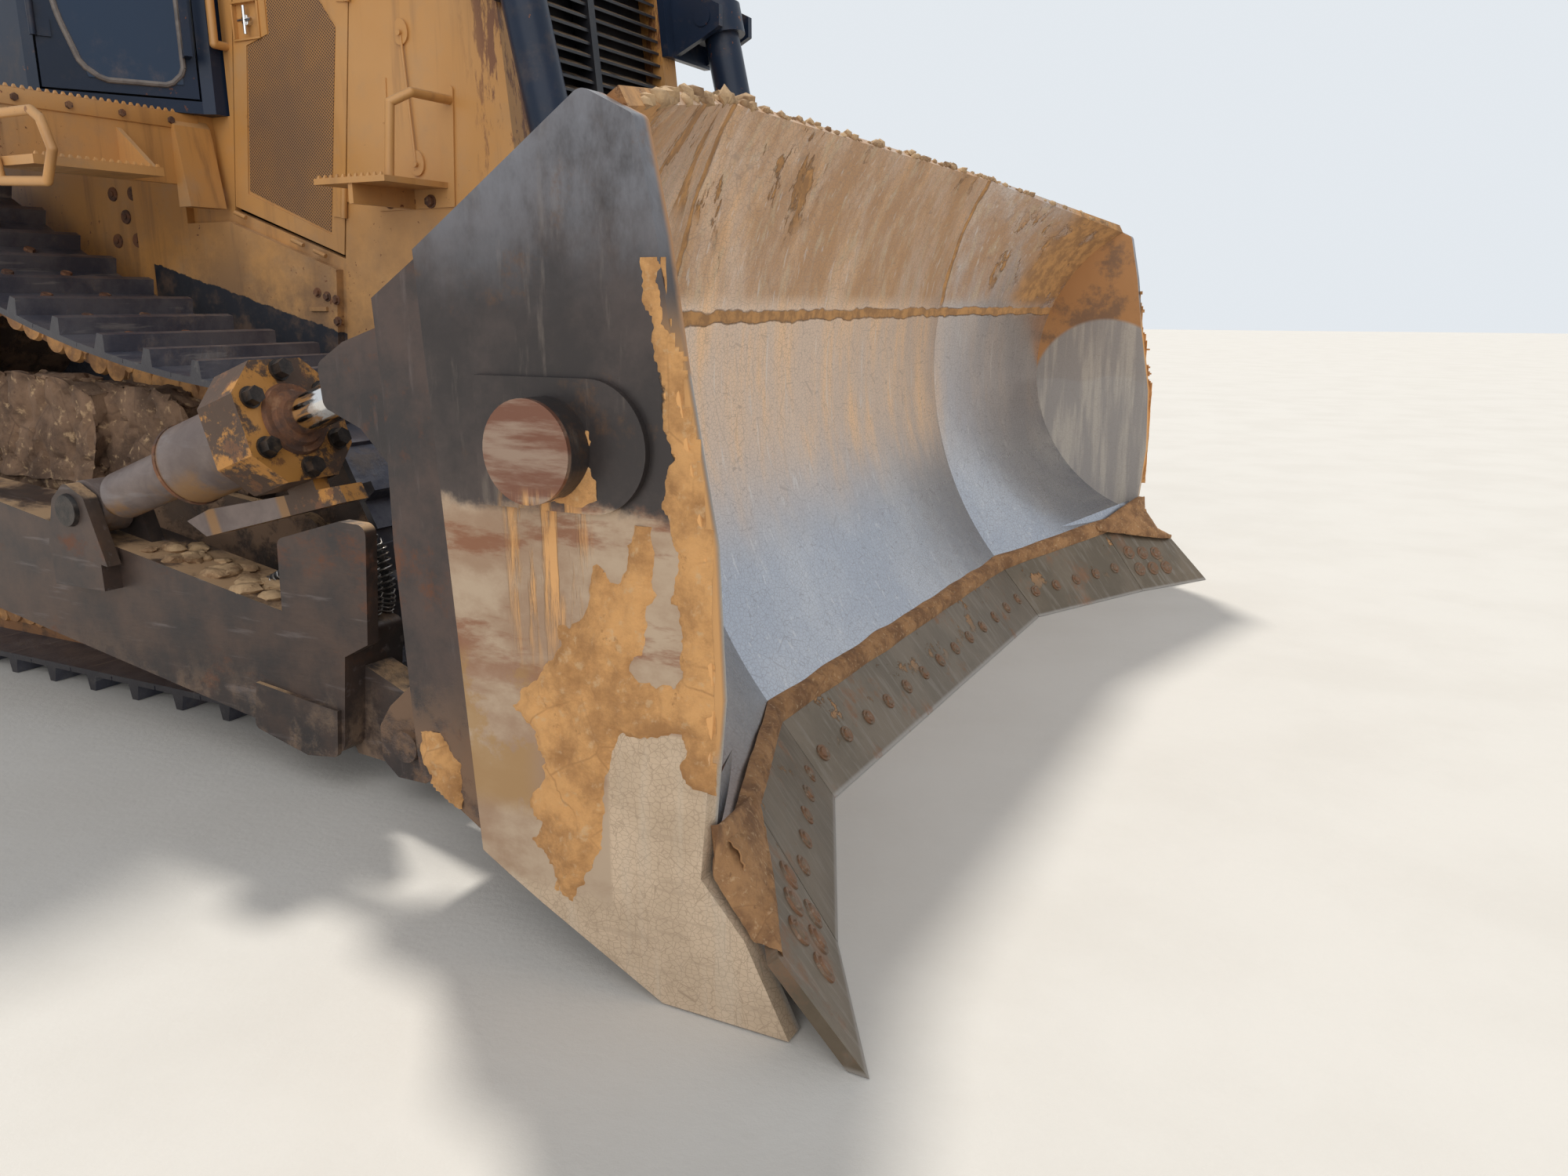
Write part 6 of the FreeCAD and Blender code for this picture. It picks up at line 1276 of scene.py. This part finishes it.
class DOZER_OT_guard_fittings(Step, bpy.types.Operator):
    """Latch rods, bolts and plugs on the guard, the side panels and the platform"""
    bl_idname = "dozer.guard_fittings"
    bl_label = "Guard fittings"

    PLUGS = [(-0.732, 1.832), (-0.603, 1.830), (-0.663, 1.737), (-0.736, 1.640), (-0.606, 1.640)]
    STEP_BOLTS = [(0.859, 1.742), (0.958, 1.740), (1.056, 1.738)]
    PANEL_BOLTS = [(0.470, 1.420), (0.520, 1.405), (0.566, 1.392), (0.566, 1.311), (-0.300, 1.240),
                   (0.100, 1.210), (0.300, 1.205), (-0.500, 1.240), (-0.100, 1.225)]

    def build(self, scene):
        flats = scene.dozer_bolts.panel_bolt
        bm, rods = bmesh.new(), bmesh.new()
        for side, _ in SIDES:
            out = Vector((0, side, 0))
            for x, z in self.PLUGS:
                disc(bm, (x, SKIN * side, z), out, 0.030, 0.006, 18, 0.028)
                disc(bm, (x, (SKIN + 0.006) * side, z), out, 0.012, 0.004, 6)
            for x, z in self.STEP_BOLTS:
                bolt(bm, (x, (SKIN + 0.008) * side, z), out, flats * 1.4, 0.014, flats)
            for x, z in self.PANEL_BOLTS:
                bolt(bm, (x, HULL_SKIN * side, z), out, flats, 0.010, flats * 0.8)
            for x, z in ((0.965, 2.310), (1.000, 1.868)):
                turns = [(math.cos(math.radians(a)), math.sin(math.radians(a))) for a in range(0, 360, 20)]
                ear = [(x + c * 0.034, z + s * (0.048 if s > 0 else 0.040)) for c, s in turns]
                upright_plate(rods, ear, SKIN * side, (SKIN + 0.009) * side)
                disc(rods, (x, (SKIN + 0.009) * side, z), out, 0.010, 0.012, 10)
            rod_y = (SKIN + 0.010) * side
            tube(rods, [(0.968, rod_y, 2.305), (0.998, rod_y, 1.875)], 0.0045, 2, False)
            upright_plate(rods, [(0.845, 2.020), (0.868, 2.018), (0.876, 2.170), (0.853, 2.172)],
                          SKIN * side, (SKIN + 0.004) * side)
            for x in (0.080, 0.385, 0.500):
                z = 1.722 - (x - 0.072) * 0.365
                disc(rods, (x - 0.030, 0.598 * side, z + 0.011), (0.94, 0, -0.343), 0.0085, 0.062, 12)
            side_block(rods, side, (-0.061, 0.640, 2.036), (-0.054, 1.466, 2.092), 0.002)
            for out_y in (0.760, 0.960, 1.160, 1.350):
                bolt(bm, (-0.054, out_y * side, 2.062), (1, 0, 0), flats, 0.010)
            side_block(rods, side, (0.430, HULL_SKIN, 1.350), (0.520, HULL_SKIN + 0.012, 1.366))
        piece(bm, "panel_bolts", "chassis", "rust")
        piece(rods, "guard_rods", "chassis", "yellow")


class DOZER_OT_steps(Step, bpy.types.Operator):
    """Toothed grip strips on the steps and the platform's edge"""
    bl_idname = "dozer.steps"
    bl_label = "Grip strips"

    # Runs of teeth: from and to, as forward, out and up in metres
    RUNS = [((0.150, 1.440, 1.860), (0.150, 0.970, 1.860)), ((-0.060, 1.465, 2.095), (-0.060, 0.640, 2.095)),
            ((0.815, 0.878, 1.800), (1.135, 0.878, 1.800)), ((-0.062, 1.466, 2.095), (-1.870, 1.466, 2.095))]

    def build(self, scene):
        bm = bmesh.new()
        for side, _ in SIDES:
            for start, end in self.RUNS:
                start, end = Vector(start) * Vector((1, side, 1)), Vector(end) * Vector((1, side, 1))
                run = end - start
                inward = Vector((-0.006, 0, 0)) if abs(run.x) < 0.01 else Vector((0, -0.006 * side, 0))
                count = int(run.length / 0.028)
                for number in range(count):
                    spot = start + run * ((number + 0.5) / count) + inward
                    disc(bm, spot, (0, 0, 1), 0.0095, 0.011, 4, 0.004, math.pi / 4)
        piece(bm, "grip_teeth", "chassis", "yellow_low", crease=20)


class DOZER_OT_cab(Step, bpy.types.Operator):
    """Lower panes and window seals of the cab doors"""
    bl_idname = "dozer.cab"
    bl_label = "Cab fittings"

    # Corners of the door window, along the door and up
    WINDOW = [(0.055, 2.190), (0.380, 2.190), (0.468, 2.445), (0.468, 3.265), (0.055, 3.265)]
    PANE = [(0.060, 2.195), (0.377, 2.195), (0.463, 2.447), (0.463, 2.930), (0.380, 2.750), (0.060, 2.750)]

    def on_door(self, along, up, proud, side):
        """A point on a cab door from its place along it, its height and how far it stands out."""
        start, run, out = Vector((-0.010, -0.645)), Vector((-0.5021, -0.8648)), Vector((0.8648, -0.5021))
        spot = start + run * along + out * proud
        return Vector((spot.x, -spot.y * side, up))

    def build(self, scene):
        for side, hand in SIDES:
            bm = bmesh.new()
            points = []
            for number, corner in enumerate(self.WINDOW):
                before, after = self.WINDOW[number - 1], self.WINDOW[(number + 1) % len(self.WINDOW)]
                here = Vector(corner)
                for other, shares in ((before, (0.065, 0.03)), (after, (0.03, 0.065))):
                    run = (Vector(other) - here)
                    for share in shares:
                        spot = here + run.normalized() * share
                        pull = (Vector(before) - here).normalized() + (Vector(after) - here).normalized()
                        spot = spot + pull * (0.010 if share < 0.05 else 0.0)
                        points.append(self.on_door(spot.x, spot.y, 0.002, side))
            points.append(points[0])
            tube(bm, points, 0.011, 2, False)
            bmesh.ops.remove_doubles(bm, verts=bm.verts, dist=0.0005)
            piece(bm, f"window_seal_{hand}", f"cab_door_{hand}", "trim")
            bm = bmesh.new()
            corners = [self.on_door(along, up, 0.0006, side) for along, up in self.PANE]
            slab(bm, corners, self.on_door(0, 0, 0.004, side) - self.on_door(0, 0, 0, side))
            piece(bm, f"lower_pane_{hand}", f"cab_door_{hand}", "tinted_pane")


class DOZER_OT_seat(Step, bpy.types.Operator):
    """Padded seat on its pedestal"""
    bl_idname = "dozer.seat"
    bl_label = "Seat"

    def pad(self, name, low, high, lean=0.0):
        """A crowned cushion with sewn channels, rounded all over."""
        bm = bmesh.new()
        low, high = Vector(low), Vector(high)
        middle, size = (low + high) / 2, high - low
        bmesh.ops.create_cube(bm, size=1)
        round_edges(bm, bm.edges[:], 0.10, 3)
        bmesh.ops.subdivide_edges(bm, edges=bm.edges[:], cuts=2, use_grid_fill=True)
        thin = min(range(3), key=lambda axis: size[axis])
        others = [axis for axis in range(3) if axis != thin]
        for vertex in bm.verts:
            point = vertex.co.copy()
            crown = (1 - (2 * point[others[0]]) ** 2) * (1 - (2 * point[others[1]]) ** 2)
            seam = math.exp(-((abs(point.y) - 0.26) / 0.025) ** 2)
            point[thin] *= 0.82 + 0.18 * crown - 0.10 * seam * crown
            for axis in others:
                point[axis] *= 0.97 - 0.03 * (1 - abs(2 * point[thin]))
            spot = Vector([point[axis] * size[axis] for axis in range(3)])
            spot.x += lean * spot.z
            vertex.co = middle + spot
        bmesh.ops.remove_doubles(bm, verts=bm.verts, dist=0.0001)
        piece(bm, name, "chassis", "cloth", crease=180)

    def build(self, scene):
        self.pad("seat_cushion", (-1.325, -0.262, 2.462), (-0.745, 0.262, 2.578))
        self.pad("seat_back", (-1.380, -0.245, 2.545), (-1.270, 0.245, 3.070), -0.14)
        for side, hand in SIDES:
            low, high = sorted((0.275 * side, 0.355 * side))
            self.pad(f"armrest_{hand}", (-1.290, low, 2.690), (-0.860, high, 2.755))
        bm = bmesh.new()
        block(bm, (-1.240, -0.175, 2.141), (-0.810, 0.175, 2.455), 0.012)
        for side, _ in SIDES:
            side_block(bm, side, (-1.280, 0.285, 2.400), (-0.880, 0.345, 2.688), 0.010)
            side_block(bm, side, (-1.100, 0.180, 2.405), (-1.020, 0.290, 2.440), 0.004)
        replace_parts(piece(bm, "seat_base", "chassis", "plastic"), "seat")


class DOZER_OT_hubs(Step, bpy.types.Operator):
    """Bolt circles of the final drives, trunnion caps and small caps on hood and tank"""
    bl_idname = "dozer.hubs"
    bl_label = "Hub bolts and caps"

    def build(self, scene):
        bm, caps = bmesh.new(), bmesh.new()
        for side, _ in SIDES:
            for reach, flats, y, count in ((0.222, 0.030, 1.330, 16), (0.155, 0.026, 1.390, 12)):
                bolt_circle(bm, (WHEEL[0], y, WHEEL[1]), side, reach, count, flats, 0.014)
            bolt_circle(bm, (-0.660, 1.775, 0.640), side, 0.092, 6, 0.032, 0.016, math.pi / 6)
        disc(caps, (-2.180, -0.300, 2.700), (0, 0, 1), 0.085, 0.060, 24, 0.078)
        disc(caps, (1.050, 0.0, 2.760), (0, 0, 1), 0.060, 0.040, 20, 0.055)
        disc(caps, (0.700, 0.250, 2.760), (0, 0, 1), 0.045, 0.035, 20, 0.040)
        piece(bm, "hub_bolts", "chassis", "rust")
        piece(caps, "filler_caps", "chassis", "black_oil")


class DOZER_OT_stage(Step, bpy.types.Operator):
    """Pale floor, soft light and the camera at the photograph's angle"""
    bl_idname = "dozer.stage"
    bl_label = "Stage"

    def build(self, scene):
        sizes = scene.dozer_stage
        bm = bmesh.new()
        bmesh.ops.create_grid(bm, x_segments=1, y_segments=1, size=60)
        mesh = bpy.data.meshes.new("floor")
        bm.to_mesh(mesh)
        bm.free()
        floor = bpy.data.objects.new("floor", mesh)
        floor.location.z = -0.002
        scene.collection.objects.link(floor)
        mesh.materials.append(finish("floor"))
        self.light(scene, sizes)
        camera = bpy.data.cameras.new("camera")
        camera.lens = sizes.lens
        camera.sensor_width = 36
        holder = bpy.data.objects.new("camera", camera)
        holder.location = (4.205, -3.969, 1.385)
        holder.rotation_euler = (math.radians(76.26), 0, math.radians(26.83))
        scene.collection.objects.link(holder)
        scene.camera = holder
        scene.view_settings.view_transform = "Standard"

    def light(self, scene, sizes):
        """An even sky, a sun from behind on the left and a broad soft fill from the camera's side."""
        world = bpy.data.worlds.new("sky")
        scene.world = world
        world.use_nodes = True
        tree = world.node_tree
        back = tree.nodes["Background"]
        path = tree.nodes.new("ShaderNodeLightPath")
        seen = tree.nodes.new("ShaderNodeMath")
        seen.operation = "MAXIMUM"
        tree.links.new(path.outputs["Is Camera Ray"], seen.inputs[0])
        tree.links.new(path.outputs["Is Glossy Ray"], seen.inputs[1])
        power = tree.nodes.new("ShaderNodeMapRange")
        power.inputs["To Min"].default_value = sizes.sky
        power.inputs["To Max"].default_value = 0.86
        tree.links.new(seen.outputs[0], power.inputs["Value"])
        tree.links.new(power.outputs[0], back.inputs["Strength"])
        back.inputs["Color"].default_value = (0.90, 0.95, 1.0, 1)
        for name, strength, spread, way, colour in (
                ("sun", sizes.sun, 6, (0.391, -0.365, -0.845), (1.0, 0.96, 0.88)),
                ("fill", sizes.fill, 70, (-0.35, 0.80, -0.48), (1.0, 0.98, 0.95))):
            lamp = bpy.data.lights.new(name, "SUN")
            lamp.energy = strength
            lamp.angle = math.radians(spread)
            lamp.color = colour
            holder = bpy.data.objects.new(name, lamp)
            holder.rotation_euler = Vector(way).to_track_quat("-Z", "Y").to_euler()
            scene.collection.objects.link(holder)


STEPS = (DOZER_OT_stage, DOZER_OT_finishes, DOZER_OT_edge_bolts, DOZER_OT_clay, DOZER_OT_mud,
         DOZER_OT_track_links, DOZER_OT_tilt_heads, DOZER_OT_hoses, DOZER_OT_door_fittings,
         DOZER_OT_guard_fittings, DOZER_OT_steps, DOZER_OT_cab, DOZER_OT_seat, DOZER_OT_hubs)


class DOZER_PT_panel(bpy.types.Panel):
    """Steps and settings of the bulldozer's finish"""
    bl_idname = "DOZER_PT_panel"
    bl_label = "Bulldozer"
    bl_space_type = "VIEW_3D"
    bl_region_type = "UI"
    bl_category = "Bulldozer"

    def draw(self, context):
        for step in STEPS:
            self.layout.operator(step.bl_idname)
        for group, kind in GROUPS.items():
            for name in kind.__annotations__:
                self.layout.prop(getattr(context.scene, group), name)


def register():
    for kind in (*GROUPS.values(), *STEPS, DOZER_PT_panel):
        bpy.utils.register_class(kind)
    for group, kind in GROUPS.items():
        setattr(bpy.types.Scene, group, PointerProperty(type=kind))


def unregister():
    for group in GROUPS:
        delattr(bpy.types.Scene, group)
    for kind in reversed((*GROUPS.values(), *STEPS, DOZER_PT_panel)):
        bpy.utils.unregister_class(kind)


def main():
    """Build everything in order."""
    register()
    for step in STEPS:
        group, name = step.bl_idname.split(".")
        getattr(getattr(bpy.ops, group), name)()


if __name__ == "__main__":
    main()
